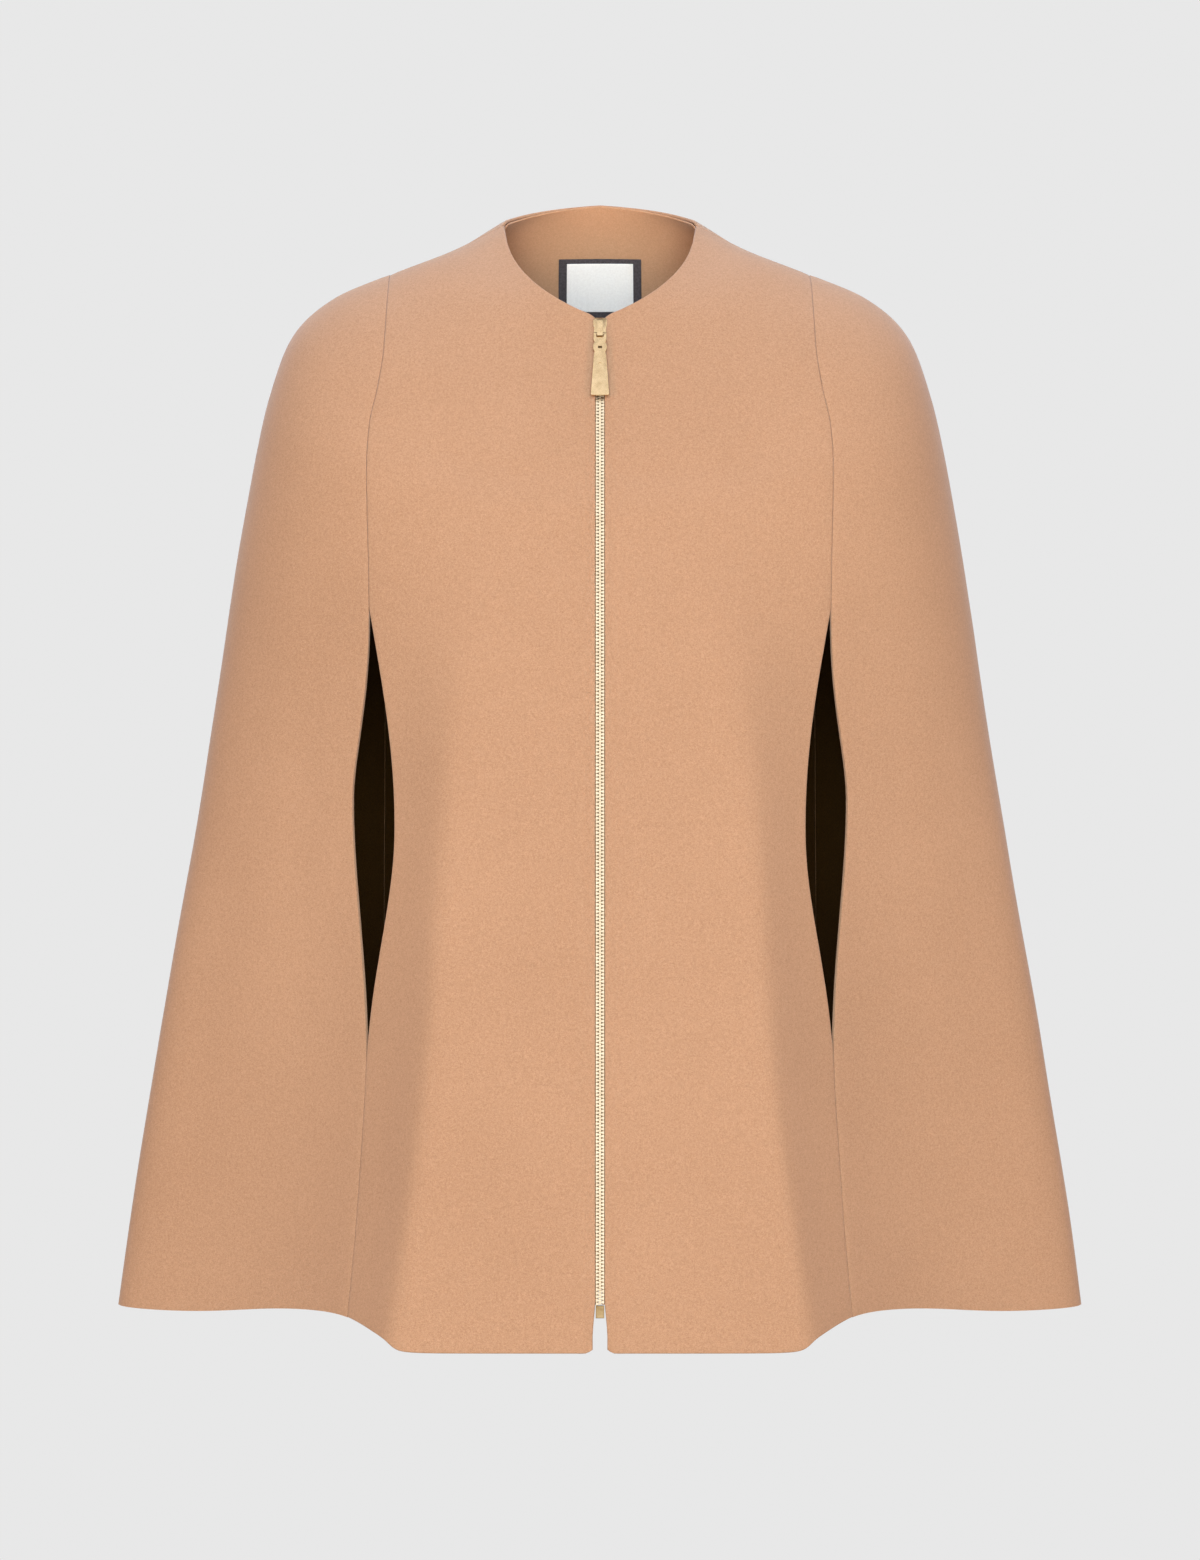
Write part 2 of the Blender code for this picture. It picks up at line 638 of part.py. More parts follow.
def build_slider(matrix):
    """Front and rear plates joined by a post between the tapes, with a bridge for the pull."""
    mesh = mesh_from(plate(SHIELD, PLATE_FRONT, PLATE_BACK), "zip_slider")
    slider = add_part("zip_slider", mesh, "brass")
    slider.matrix_world = matrix
    post = [(POST_HALF, POST_TOP), (POST_HALF, POST_FOOT)]
    arch = [(-ARCH_HALF, y, z) for y, z in ARCH_SIDE]
    for name, bm in (
        ("slider_post", plate(post, PLATE_BACK - SUNK, REAR_FRONT + SUNK)),
        ("slider_rear", plate(SHIELD, REAR_FRONT, REAR_BACK)),
        ("slider_bridge", extruded(arch, (2 * ARCH_HALF, 0, 0))),
    ):
        boolean(slider, helper(name, bm, matrix), "UNION")


def build_pull(matrix):
    """A die-cast tab whose loop passes under the bridge, hung on an empty at its bar."""
    pivot = bpy.data.objects.new("pull_pivot", None)
    place = matrix @ Matrix.Translation(Vector((0, BAR_Y, BAR_Z)) * MM)
    pivot.matrix_world = place
    parts.objects.link(pivot)
    mesh = mesh_from(plate(PULL, -PULL_HALF, PULL_HALF), "zip_pull")
    pull = add_part("zip_pull", mesh, "brass")
    pull.parent = pivot
    window = plate(WINDOW, -2 * PULL_HALF, 2 * PULL_HALF)
    recess = plate(RECESS, -2 * PULL_HALF, RECESS_DEPTH - PULL_HALF)
    slot = plate(SLOT, -2 * PULL_HALF, 2 * PULL_HALF)
    boolean(pull, helper("pull_window", window, place), "DIFFERENCE")
    boolean(pull, helper("pull_slot", slot, place), "DIFFERENCE")
    boolean(pull, helper("pull_recess", recess, place), "DIFFERENCE")
    bevel(pull, 0.2, 1)


clear_scene()
parts = new_collection("cape_coat")
cutters = new_collection("cutters")
materials = {name: new_material(name) for name in COLOURS}
build_cloth()
build_inside()
build_label()
build_zip()
chest = chest_frame()
build_slider(chest)
build_pull(chest)
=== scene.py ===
import functools
import math
from collections import namedtuple

import bmesh
import bpy
import numpy as np
from mathutils import Matrix, Vector, noise


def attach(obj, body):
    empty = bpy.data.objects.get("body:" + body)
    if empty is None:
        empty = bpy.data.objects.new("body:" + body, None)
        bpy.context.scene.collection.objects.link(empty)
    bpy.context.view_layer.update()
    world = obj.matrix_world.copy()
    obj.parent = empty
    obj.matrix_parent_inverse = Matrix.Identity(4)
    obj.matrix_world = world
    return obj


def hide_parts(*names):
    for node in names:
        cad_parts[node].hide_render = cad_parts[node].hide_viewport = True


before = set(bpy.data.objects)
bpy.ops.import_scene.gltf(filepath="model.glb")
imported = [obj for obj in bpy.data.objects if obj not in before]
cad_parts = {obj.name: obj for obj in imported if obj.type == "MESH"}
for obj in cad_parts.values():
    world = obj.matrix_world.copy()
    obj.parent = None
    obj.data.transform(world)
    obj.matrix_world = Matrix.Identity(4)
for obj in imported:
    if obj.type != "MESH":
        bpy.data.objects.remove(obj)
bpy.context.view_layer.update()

# Fronts. Two panels of double-faced felted wool, about 2 mm thick, cut without darts. Their edges
# are turned in and pressed, rolled softly beside the zip. Below the bust each falls in one long
# fold, and the side seam opens into an arm slit.

MM = 0.001

# The form that all the wool follows, in millimetres. It hangs from the shoulders as one closed line
# round the body at every level, from the neckline down to the hem. A level is a row of this table.
Outline = namedtuple("Outline", "side_z half_width square")
OUTLINES = [
    Outline(0, 69, 2.0),  # neckline
    Outline(-18, 105, 2.1),  # middle of the shoulder
    Outline(-36, 151, 2.2),  # end of the shoulder seam
    Outline(-54, 192, 2.3),  # shoulder round
    Outline(-80, 220, 2.4),  # shoulder point
    Outline(-126, 237.6, 2.6),  # upper arm
    Outline(-212, 255, 2.9),  # chest
    Outline(-277, 266, 3.0),  # top of the arm slits
    Outline(-421, 288.5, 3.0),  # middle of the arm slits
    Outline(-587, 317.5, 3.0),  # foot of the arm slits
    Outline(-688, 334, 3.0),  # hip
    Outline(-776, 346.3, 3.0),  # hem
]
# The height in the middle, then how far the cape's wing, the body and its long fold each stand out
# from the shoulder line, over what run they fall away, and how crisp the fold's edge is
Depth = namedtuple("Depth", "centre_z wing body body_run fold fold_x fold_run edge spread")
FRONTS = [
    Depth(-75, 78, 0, 30, 0, 30, 8, 8, 110),
    Depth(-100, 88, 0, 35, 0, 44, 12, 12, 110),
    Depth(-128, 99, 0, 40, 0, 58, 17, 16, 110),
    Depth(-155, 109, 0, 45, 0, 68, 21, 18, 110),
    Depth(-185, 119, 0, 50, 0, 75, 24, 20, 110),
    Depth(-222, 127, 3, 50, 0, 80, 26, 20, 110),
    Depth(-285, 112, 28, 45, 2, 88, 28, 16, 110),
    Depth(-335, 92, 48, 35, 7, 98, 24, 9, 105),
    Depth(-452, 64, 62, 24, 26, 109, 13, 4.5, 100),
    Depth(-598, 46, 65, 20, 47, 119, 8, 4, 105),
    Depth(-697, 40, 64, 18, 57, 131, 6.5, 3.5, 105),
    Depth(-790, 35, 64, 16, 66, 144, 5, 3.5, 105),
]
BACKS = [
    Depth(22, 55, 0, 30, 0, 30, 8, 8, 110),
    Depth(-10, 70, 0, 35, 0, 44, 12, 12, 110),
    Depth(-50, 87, 0, 40, 0, 58, 17, 16, 110),
    Depth(-92, 99, 0, 45, 0, 68, 21, 18, 110),
    Depth(-135, 106, 0, 50, 0, 75, 24, 20, 110),
    Depth(-182, 108, 2, 50, 0, 80, 26, 20, 110),
    Depth(-255, 100, 12, 45, 0, 86, 26, 17, 110),
    Depth(-310, 88, 26, 35, 2, 92, 24, 14, 110),
    Depth(-440, 68, 40, 26, 10, 102, 18, 10, 105),
    Depth(-593, 56, 46, 22, 24, 112, 13, 8, 100),
    Depth(-694, 52, 47, 20, 33, 120, 11, 7, 100),
    Depth(-783, 48, 48, 18, 42, 130, 10, 6, 100),
]
NECK, SHOULDER_END, HEM = 0, 2, 11
BODY_X = 166  # where the body falls away to the cape's wing
V_SHARE_FRONT, V_SHARE_BACK = 0.5, 0.3  # how much of the neckline is a V and not round
SHOULDER_RISE, SHOULDER_REACH = 0.57, 0.15  # the slope that front and back share at the shoulder
DRAPED_BY = 1.5  # level at which the line of the hem has taken over from the neckline's
CURVED_TO, STRAIGHTENING = 5, 3  # level from which that line grows straighter, and over how many
CORNER_ROUND, CORNER_DROP = 9, 3.5  # the neckline's corner above the zip
HEM_CORNER, HEM_LIFT, HEM_X, HEM_OVER = 6, 2.8, 5.0, 0.12  # the hem's corner beside the notch
# The hem of the cape lifts beside the fold, between two soft steps at an x and over a run
LIFT, LIFTED_FROM, LIFTED_TO = 11.5, (155, 18), (250, 45)
LIFT_FROM, LIFT_OVER = 7, 4  # levels by which it fades in
# The line of the seams between the fronts and the cape sides, and of those at the back
SeamPoint = namedtuple("SeamPoint", "z x")
SEAM = [
    SeamPoint(-776, 175),
    SeamPoint(-690, 168),
    SeamPoint(-587, 162.5),
    SeamPoint(-280, 160.5),
    SeamPoint(-175, 162.5),
    SeamPoint(-150, 161),
    SeamPoint(-125, 156),
    SeamPoint(-92, 152),
    SeamPoint(-37, 151),
    SeamPoint(0, 151),
]
SEAM_GAP = 0.08
SAMPLES, NUDGE, HALVINGS = 700, 0.004, 30


def smooth_curve(knots, values):
    """A function that runs smoothly through the values and never swings past them."""
    knots = np.asarray(knots, float)
    values = np.asarray(values, float)
    step = np.diff(knots)
    slope = np.diff(values) / step
    tangent = np.append(slope, slope[-1])
    for i in range(1, len(slope)):
        before, after = slope[i - 1], slope[i]
        turns = before * after <= 0
        tangent[i] = 0 if turns else 2 * before * after / (before + after)

    def at(x):
        i = np.clip(np.searchsorted(knots, x, side="right") - 1, 0, len(step) - 1)
        t = (x - knots[i]) / step[i]
        rise = (1 + 2 * t) * (1 - t) ** 2 * values[i] + t**2 * (3 - 2 * t) * values[i + 1]
        lean = t * (1 - t) ** 2 * tangent[i] + t**2 * (t - 1) * tangent[i + 1]
        return rise + lean * step[i]

    return at


def table_curves(rows):
    numbers = range(len(rows))
    return {
        column: smooth_curve(numbers, [getattr(row, column) for row in rows])
        for column in rows[0]._fields
    }


outline_at = table_curves(OUTLINES)
front_at = table_curves(FRONTS)
back_at = table_curves(BACKS)
seam_x_at = smooth_curve([p.z for p in SEAM], [p.x for p in SEAM])


def ease(t):
    t = np.clip(t, 0, 1)
    return t * t * (3 - 2 * t)


def falls_away(x, centre, run):
    return 0.5 * (1 - np.tanh((x - centre) / run))


def section_points(level, front):
    """One section, from the middle of the front or back out to the side."""
    depth_at = front_at if front else back_at
    turn = np.linspace(0, math.pi / 2, SAMPLES)
    width = outline_at["half_width"](level)
    square = outline_at["square"](level)
    x = width * np.sin(turn)
    arc = np.clip(1 - (x / width) ** square, 0, 1) ** (1 / square)
    wing = depth_at["wing"](level) * arc
    body, fold = depth_at["body"](level), depth_at["fold"](level)
    fold_x = depth_at["fold_x"](level)
    hem = (
        wing
        + body * falls_away(x, BODY_X, depth_at["body_run"](level))
        + fold * falls_away(x, fold_x, depth_at["fold_run"](level))
    )
    edge, spread = depth_at["edge"](level), depth_at["spread"](level)
    stands = np.exp(-edge * np.logaddexp(0, (x - fold_x) / edge) / spread)
    depth = wing + (body + fold) * (stands - stands[-1]) / (stands[0] - stands[-1])
    v_share = V_SHARE_FRONT if front else V_SHARE_BACK
    inward = 1 - turn / (math.pi / 2)
    neckline = (1 - v_share) * np.cos(turn) + v_share * inward
    drape = (hem / hem[0]) ** (2 - ease((level - CURVED_TO) / STRAIGHTENING))
    draped = ease(level / DRAPED_BY)
    share = neckline + (drape - neckline) * draped
    side_z = outline_at["side_z"](level)
    drop = depth_at["centre_z"](level) - side_z
    rise = SHOULDER_RISE * depth_at["wing"](level) * math.pi / 2
    lean = (-rise if front else rise) - drop * ((1 - v_share) * math.pi / 2 + v_share)
    smoothing = (1 - draped) * lean * inward * np.exp(-((inward / SHOULDER_REACH) ** 2))
    lifted = falls_away(x, *LIFTED_TO) - falls_away(x, *LIFTED_FROM)
    z = side_z + drop * share + smoothing + LIFT * ease((level - LIFT_FROM) / LIFT_OVER) * lifted
    if front:
        z = z - CORNER_DROP * ease(1 - level * 2) * np.clip(1 - x / CORNER_ROUND, 0, 1) ** 2
        hem_corner = np.clip(1 - (x - HEM_X) / HEM_CORNER, 0, 1) ** 2
        z = z + HEM_LIFT * ease((level - HEM + HEM_OVER) / HEM_OVER) * hem_corner
    return np.column_stack([x, -depth if front else depth, z])


def lengths_along(points):
    """How far each point of a line lies from its first one."""
    steps = np.linalg.norm(np.diff(points, axis=0), axis=1)
    return np.concatenate([[0], np.cumsum(steps)])


Section = namedtuple("Section", "rows lengths")


@functools.lru_cache(maxsize=None)
def half_section(level, front):
    """Rows of a point and its outward normal, and their lengths from the middle."""
    points = section_points(level, front)
    above = section_points(max(level - NUDGE, NECK), front)
    below = section_points(min(level + NUDGE, HEM), front)
    normals = np.cross(np.gradient(points, axis=0), below - above)
    normals *= (-1 if front else 1) / np.linalg.norm(normals, axis=1)[:, None]
    return Section(np.hstack([points, normals]), lengths_along(points))


def rows_where(rows, key, wanted):
    """The section's rows where key, a number that grows along it, has the wanted values."""
    return np.column_stack([np.interp(wanted, key, column) for column in rows.T])


def level_at(z, x, front):
    """The level whose section is at height z where it passes x."""
    low, high = NECK, HEM
    for _ in range(HALVINGS):
        level = (low + high) / 2
        rows = half_section(level, front).rows
        if np.interp(x, rows[:, 0], rows[:, 2]) > z:
            low = level
        else:
            high = level
    return level


CLOTH = 2.2
SLIT_TOP_Z, SLIT_FOOT_Z = -281, -598
Bow = namedtuple("Bow", "widest_z spread upper_power lower_power")
CAPE_EDGE = Bow(-414, 11.8, 2.2, 1.8)
BODY_EDGE = Bow(-438, 18.6, 1.0, 1.6)
FRONT_EDGE_X, FOOT_EDGE_X, FOOT_ROUND = 3.1, 5.0, 14  # beside the teeth, at the notch, between
BOX_FOOT_Z = -766
FANNED, STRAIGHT_TO, BENDING = 3.2, 3, 3  # levels by which rows and columns leave the neckline
SHARES = (0, 5 / 12, 9 / 12, 1)  # of the columns, at the middle, beside the fold and at the seam
FOLD_REACH = 1.6
LEAST_SHARE, NEAR_SHARE = 0.1, 0.6
SECOND_ROW, THIRD_ROW = 0.05, 0.12
FANNED_ROWS, HANGING_ROWS = 42, 124
EDGE_SHARE, EDGE_COLUMNS, WIDE_COLUMNS = 0.06, 7, 56  # closer columns beside the zip
EDGE_ROUND = 0.85


def bow(z, edge):
    """How far an edge of the slit bows away from the seam at a height."""
    above = (SLIT_TOP_Z - z) / (SLIT_TOP_Z - edge.widest_z)
    below = (z - SLIT_FOOT_Z) / (edge.widest_z - SLIT_FOOT_Z)
    rise = np.where(
        z > edge.widest_z,
        np.clip(above, 0, 1) ** edge.upper_power,
        np.clip(below, 0, 1) ** edge.lower_power,
    )
    return edge.spread * np.sin(rise * math.pi / 2)


def seam_length(section, front, outward):
    """The section's length where it crosses the seam's body side or cape side, if it does."""
    rows, lengths = section
    edge = seam_x_at(rows[:, 2]) + outward * SEAM_GAP / 2
    if front:
        edge = edge + outward * bow(rows[:, 2], CAPE_EDGE if outward > 0 else BODY_EDGE)
    past = rows[:, 0] - edge
    if past[-1] < 0:
        return lengths[-1] - SEAM_GAP / 2
    return float(np.interp(0, past, lengths))


shoulder_levels = np.linspace(NECK, SHOULDER_END + 0.2, 500)
shoulder_widths = outline_at["half_width"](shoulder_levels)
past_seam = shoulder_widths - seam_x_at(outline_at["side_z"](shoulder_levels))
SHOULDER_TIP, CAPE_TIP = np.interp([-SEAM_GAP / 2, SEAM_GAP / 2], past_seam, shoulder_levels)
NECK_X = OUTLINES[NECK].half_width
TIP_X = float(np.interp(SHOULDER_TIP, shoulder_levels, shoulder_widths))


def fanned(level, top):
    """The section that a row of the body meets on a line that starts at the top level."""
    return float(top + level / FANNED * (FANNED - top)) if level < FANNED else level


def front_edge(z):
    """The cloth's edge beside the zip, and beside the open foot below it."""
    opening = ease((BOX_FOOT_Z + FOOT_ROUND - z) / (2 * FOOT_ROUND))
    return FRONT_EDGE_X + (FOOT_EDGE_X - FRONT_EDGE_X) * opening


def columns_x(shares, level, front, start_x, end):
    """Where the lines that run down the body cross a section that ends at the seam."""
    rows, lengths = half_section(level, front)
    end_x = np.interp(end, lengths, rows[:, 0])
    straight = np.interp(shares, (0, SHARES[1], 1), (start_x, NECK_X, end_x))
    depth_at = front_at if front else back_at
    reach = FOLD_REACH * depth_at["edge"](level)
    fold_x = depth_at["fold_x"](level)
    start, near, far = np.interp([start_x, fold_x - reach, fold_x + reach], rows[:, 0], lengths)
    least = LEAST_SHARE * (end - start)
    near = np.clip(near, start + least, start + NEAR_SHARE * (end - start))
    far = np.clip(far, near + least, end - least)
    spread = np.interp(np.interp(shares, SHARES, (start, near, far, end)), lengths, rows[:, 0])
    return straight + (spread - straight) * ease((level - STRAIGHT_TO) / BENDING)


def body_point(share, row_level, front):
    """A point of the front or back above the fanned levels, on a line of its own."""
    top_x = np.interp(share, (SHARES[1], 1), (NECK_X, TIP_X))
    level = fanned(row_level, np.interp(top_x, shoulder_widths, shoulder_levels))
    section = half_section(level, front)
    rows, lengths = section
    start_x = front_edge(rows[0, 2]) if front else 0
    if row_level == NECK and share >= SHARES[1]:
        return rows_where(rows, lengths, [lengths[-1] - SEAM_GAP / 2])[0]
    if level < SHOULDER_TIP:
        x = np.interp(share, (0, SHARES[1], 1), (start_x, NECK_X, TIP_X))
        return rows_where(rows, rows[:, 0], [x])[0]
    end = seam_length(section, front, -1)
    if share == 1:
        return rows_where(rows, lengths, [end])[0]
    return rows_where(rows, rows[:, 0], columns_x([share], level, front, start_x, end))[0]


def body_row(shares, level, front):
    if level < FANNED:
        return np.array([body_point(share, level, front) for share in shares])
    section = half_section(level, front)
    rows, lengths = section
    start_x = front_edge(rows[0, 2]) if front else 0
    end = seam_length(section, front, -1)
    x = columns_x(shares, level, front, start_x, end)
    x[np.asarray(shares) == 1] = np.interp(end, lengths, rows[:, 0])
    return rows_where(rows, rows[:, 0], x)


def front_panel(across, level):
    return body_row(across, level, True)


# Soft troughs and ridges in the hanging cloth: a line from one point to another as the front or
# back is seen, its half width, and how far it stands out
Crease = namedtuple("Crease", "front x z foot_x foot_z width height")
CREASES = [
    Crease(True, -70, -190, -106, -420, 26, 1.6),
    Crease(True, 66, -200, 104, -410, 24, 1.4),
    Crease(True, -128, -110, -84, -215, 15, -1.1),
    Crease(True, 130, -105, 88, -220, 16, -0.9),
    Crease(True, -40, -470, -56, -770, 26, 0.7),
    Crease(True, 46, -520, 60, -775, 28, 0.6),
    Crease(True, -205, -120, -246, -700, 24, 1.6),
    Crease(True, 208, -130, 238, -690, 26, 1.5),
    Crease(True, -262, -330, -300, -760, 22, -1.3),
    Crease(True, 256, -300, 296, -750, 24, -1.2),
    Crease(True, -186, -280, -196, -560, 12, 0.9),
    Crease(True, 188, -290, 194, -540, 12, 0.8),
    Crease(False, -10, -150, -18, -560, 24, 1.2),
    Crease(False, -84, -130, -60, -330, 22, -1.3),
    Crease(False, 88, -140, 66, -350, 22, -1.2),
    Crease(False, -208, -140, -244, -700, 26, 1.7),
    Crease(False, 212, -150, 240, -680, 26, 1.6),
    Crease(False, -262, -330, -296, -750, 22, -1.2),
    Crease(False, 258, -320, 298, -760, 22, -1.2),
    Crease(False, 30, -470, 44, -770, 24, 0.9),
]
CREASE_END, SIDE_FADE = 0.35, 18  # share of a crease that dies out, and how far in from the sides
ROLL_X, ROLL_WIDTH, ROLL_HEIGHT = 11.5, 4.5, 0.75  # the soft roll beside the zip
TUCK_X, TUCK_WIDTH, TUCK_DEPTH = 5.2, 2.6, 0.45  # where the edge is drawn in by its stitching
ROLL_TOP_Z, ROLL_GROWS = -75, 25
SEAM_DIP, SEAM_DIP_WIDTH = 0.35, 3.5
UNEVEN, UNEVEN_SIZE = 0.7, 95  # slow unevenness all over, and how wide its waves are
UNEVEN_TOP_Z, UNEVEN_GROWS = 10, 120


def relief(rows):
    """How far the hanging cloth stands out from its even form at each place."""
    x, y, z = rows[..., 0], rows[..., 1], rows[..., 2]
    height = np.zeros(x.shape)
    for c in CREASES:
        along = np.array([c.foot_x - c.x, c.foot_z - c.z], float)
        long = np.linalg.norm(along)
        along /= long
        down = (x - c.x) * along[0] + (z - c.z) * along[1]
        aside = (x - c.x) * along[1] - (z - c.z) * along[0]
        ends = ease(down / (CREASE_END * long)) * ease((long - down) / (CREASE_END * long))
        facing = ease(-y / SIDE_FADE) if c.front else ease(y / SIDE_FADE)
        height += c.height * ends * facing * np.exp(-((aside / c.width) ** 2))
    front = ease(-y / SIDE_FADE)
    roll = ROLL_HEIGHT * np.exp(-(((abs(x) - ROLL_X) / ROLL_WIDTH) ** 2))
    tuck = TUCK_DEPTH * np.exp(-(((abs(x) - TUCK_X) / TUCK_WIDTH) ** 2))
    height += front * (roll - tuck) * ease((ROLL_TOP_Z - z) / ROLL_GROWS)
    height -= SEAM_DIP * np.exp(-(((abs(x) - seam_x_at(z)) / SEAM_DIP_WIDTH) ** 2))
    flat = [noise.noise(Vector(p) / UNEVEN_SIZE) for p in rows[..., :3].reshape(-1, 3)]
    return height + UNEVEN * np.reshape(flat, x.shape) * ease((UNEVEN_TOP_Z - z) / UNEVEN_GROWS)


def as_mesh(name, bm):
    mesh = bpy.data.meshes.new(name)
    bm.to_mesh(mesh)
    bm.free()
    return mesh


def soften(bm, geom, offset, segments, affect="EDGES"):
    """Rounds the given edges or corners."""
    bmesh.ops.bevel(
        bm,
        geom=geom,
        offset=offset,
        offset_type="OFFSET",
        segments=segments,
        profile=0.5,
        affect=affect,
        clamp_overlap=True,
        material=-1,
    )


def show(name, bm, material, body="garment", slot="wool"):
    """A finished piece, shaded smooth, riding on a body."""
    mesh = as_mesh(name, bm)
    mesh.shade_smooth()
    mesh.materials.append(material)
    piece = bpy.data.objects.new(name, mesh)
    bpy.context.scene.collection.objects.link(piece)
    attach(piece, body)
    return piece


def cloth_rows(panel, levels, across, mirrored=False):
    """The panel's points and normals, row by row, with its troughs and ridges."""
    rows = np.array([panel(across, float(level)) for level in levels])
    if mirrored:
        rows[..., [0, 3]] *= -1
    rows[..., :3] += rows[..., 3:] * relief(rows)[..., None]
    return rows


def wall(name, rows, depths, material, slot, rounding):
    """A sheet of cloth between two depths under its rows, with its edges rounded."""
    last_row, last_column = rows.shape[0] - 1, rows.shape[1] - 1
    run_across = np.linalg.norm(np.diff(rows[..., :3], axis=1), axis=2).mean(axis=0)
    run_down = np.linalg.norm(np.diff(rows[..., :3], axis=0), axis=2).mean(axis=1)
    u = np.concatenate([[0], np.cumsum(run_across)]) * MM
    v = np.concatenate([[0], np.cumsum(run_down)]) * MM
    bm = bmesh.new()
    bmesh.ops.create_grid(bm, x_segments=last_column, y_segments=last_row, size=1)
    outer = list(bm.verts)
    grown = bmesh.ops.extrude_face_region(bm, geom=bm.faces[:], use_keep_orig=True)["geom"]
    inner = [vert for vert in grown if isinstance(vert, bmesh.types.BMVert)]
    place = {}
    for verts, depth in ((outer, depths[0]), (inner, depths[1])):
        for vert in verts:
            row = round((vert.co.y + 1) / 2 * last_row)
            column = round((vert.co.x + 1) / 2 * last_column)
            point, normal = rows[row, column, :3], rows[row, column, 3:]
            vert.co = Vector(point - normal * depth) * MM
            place[vert] = (u[column], -v[row])
    weave = bm.loops.layers.uv.new("weave")
    for face in bm.faces:
        for loop in face.loops:
            loop[weave].uv = place[loop.vert]
    bmesh.ops.recalc_face_normals(bm, faces=bm.faces[:])
    on_outer = set(outer)
    sides = {face for face in bm.faces if 0 < sum(v in on_outer for v in face.verts) < 4}
    rim = [edge for edge in bm.edges if len(sides & set(edge.link_faces)) == 1]
    soften(bm, rim, rounding * MM, 3)
    return show(name, bm, material, slot=slot)


def declare(node, rows):
    """Works out the width, length and area of the cut in a piece's rows, which nothing uses, and
    hides the node's imported part.
    """
    points = rows[..., :3] * MM
    across = np.diff(points, axis=1)
    down = np.diff(points, axis=0)
    width = np.linalg.norm(across, axis=2).sum(axis=1).max()
    length = np.linalg.norm(down, axis=2).sum(axis=0).max()
    area = np.linalg.norm(np.cross(across[:-1], down[:, :-1]), axis=2).sum()
    area = float(min(area, width * length))
    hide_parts(node)


class Look:
    """A material's nodes, made one after another."""

    def __init__(self, name):
        self.material = bpy.data.materials.new(name)
        self.material.use_nodes = True
        self.tree = self.material.node_tree
        self.shader = self.tree.nodes["Principled BSDF"]
        self.object_place = self.add("ShaderNodeTexCoord").outputs["Object"]

    def add(self, kind, **inputs):
        node = self.tree.nodes.new(kind)
        for name, value in inputs.items():
            self.set(node, name.replace("_", " "), value)
        return node

    def set(self, node, name, value):
        if isinstance(value, bpy.types.NodeSocket):
            self.tree.links.new(value, node.inputs[name])
        else:
            node.inputs[name].default_value = value

    def noise(self, scale, detail, place=None):
        node = self.add("ShaderNodeTexNoise", Scale=scale, Detail=detail, Roughness=0.6)
        self.tree.links.new(place or self.object_place, node.inputs["Vector"])
        return node.outputs["Fac"]

    def maths(self, operation, first, second=0.5, third=0.5):
        node = self.tree.nodes.new("ShaderNodeMath")
        node.operation = operation
        for i, value in enumerate((first, second, third)):
            if isinstance(value, bpy.types.NodeSocket):
                self.tree.links.new(value, node.inputs[i])
            else:
                node.inputs[i].default_value = value
        return node.outputs[0]

    def ramp(self, factor, *stops):
        """Colours at places from 0 to 1."""
        node = self.add("ShaderNodeValToRGB", Fac=factor)
        steps = node.color_ramp.elements
        while len(steps) < len(stops):
            steps.new(0.5)
        for step, (place, colour) in zip(steps, stops):
            step.position = place
            step.color = (*colour, 1)
        return node.outputs["Color"]

    def bump(self, height, distance, normal=None):
        node = self.add("ShaderNodeBump", Height=height, Distance=distance, Strength=1)
        if normal is not None:
            self.tree.links.new(normal, node.inputs["Normal"])
        return node.outputs["Normal"]

    def finish(self, **inputs):
        for name, value in inputs.items():
            self.set(self.shader, name.replace("_", " "), value)
        return self.material


def felted_wool(name, dark, middle, light):
    """Short brushed nap over a hidden twill, with slightly uneven dye."""
    look = Look(name)
    fibres = look.noise(1500, 3)
    clumps = look.noise(520, 3)
    dye = look.noise(7, 2)
    tone = look.maths("MULTIPLY_ADD", fibres, 0.6, look.maths("MULTIPLY", clumps, 0.3))
    tone = look.maths("MULTIPLY_ADD", dye, 0.1, tone)
    colour = look.ramp(tone, (0.3, dark), (0.5, middle), (0.7, light))
    normal = look.bump(clumps, 0.00018, look.bump(fibres, 0.00012))
    return look.finish(
        Base_Color=colour,
        Roughness=0.92,
        Specular_IOR_Level=0.2,
        Sheen_Weight=0.25,
        Sheen_Roughness=0.5,
        Sheen_Tint=(1, 0.86, 0.72, 1),
        Normal=normal,
    )


wool = felted_wool(
    "felted_wool", (0.297, 0.158, 0.08), (0.405, 0.227, 0.122), (0.512, 0.298, 0.166)
)
fanned_rows = np.linspace(THIRD_ROW, FANNED, FANNED_ROWS)
hanging_rows = np.linspace(FANNED, HEM, HANGING_ROWS)[1:]
BODY_ROWS = np.concatenate([[NECK, SECOND_ROW], fanned_rows, hanging_rows])
edge_columns = np.linspace(0, EDGE_SHARE, EDGE_COLUMNS)
wide_columns = np.linspace(EDGE_SHARE, 1, WIDE_COLUMNS)[1:]
FRONT_COLUMNS = np.concatenate([edge_columns, wide_columns])
for side, mirrored in (("left", False), ("right", True)):
    rows = cloth_rows(front_panel, BODY_ROWS, FRONT_COLUMNS, mirrored)
    piece = wall(f"front_panel_{side}", rows, (0, CLOTH), wool, "wool", EDGE_ROUND)
    declare(f"front_{side}", rows)


# Cape sides. One wool panel a side goes from the front seam over the shoulder and arm to the back
# seam, and hangs free from the shoulder round. Its front edge is turned in along the arm slit.

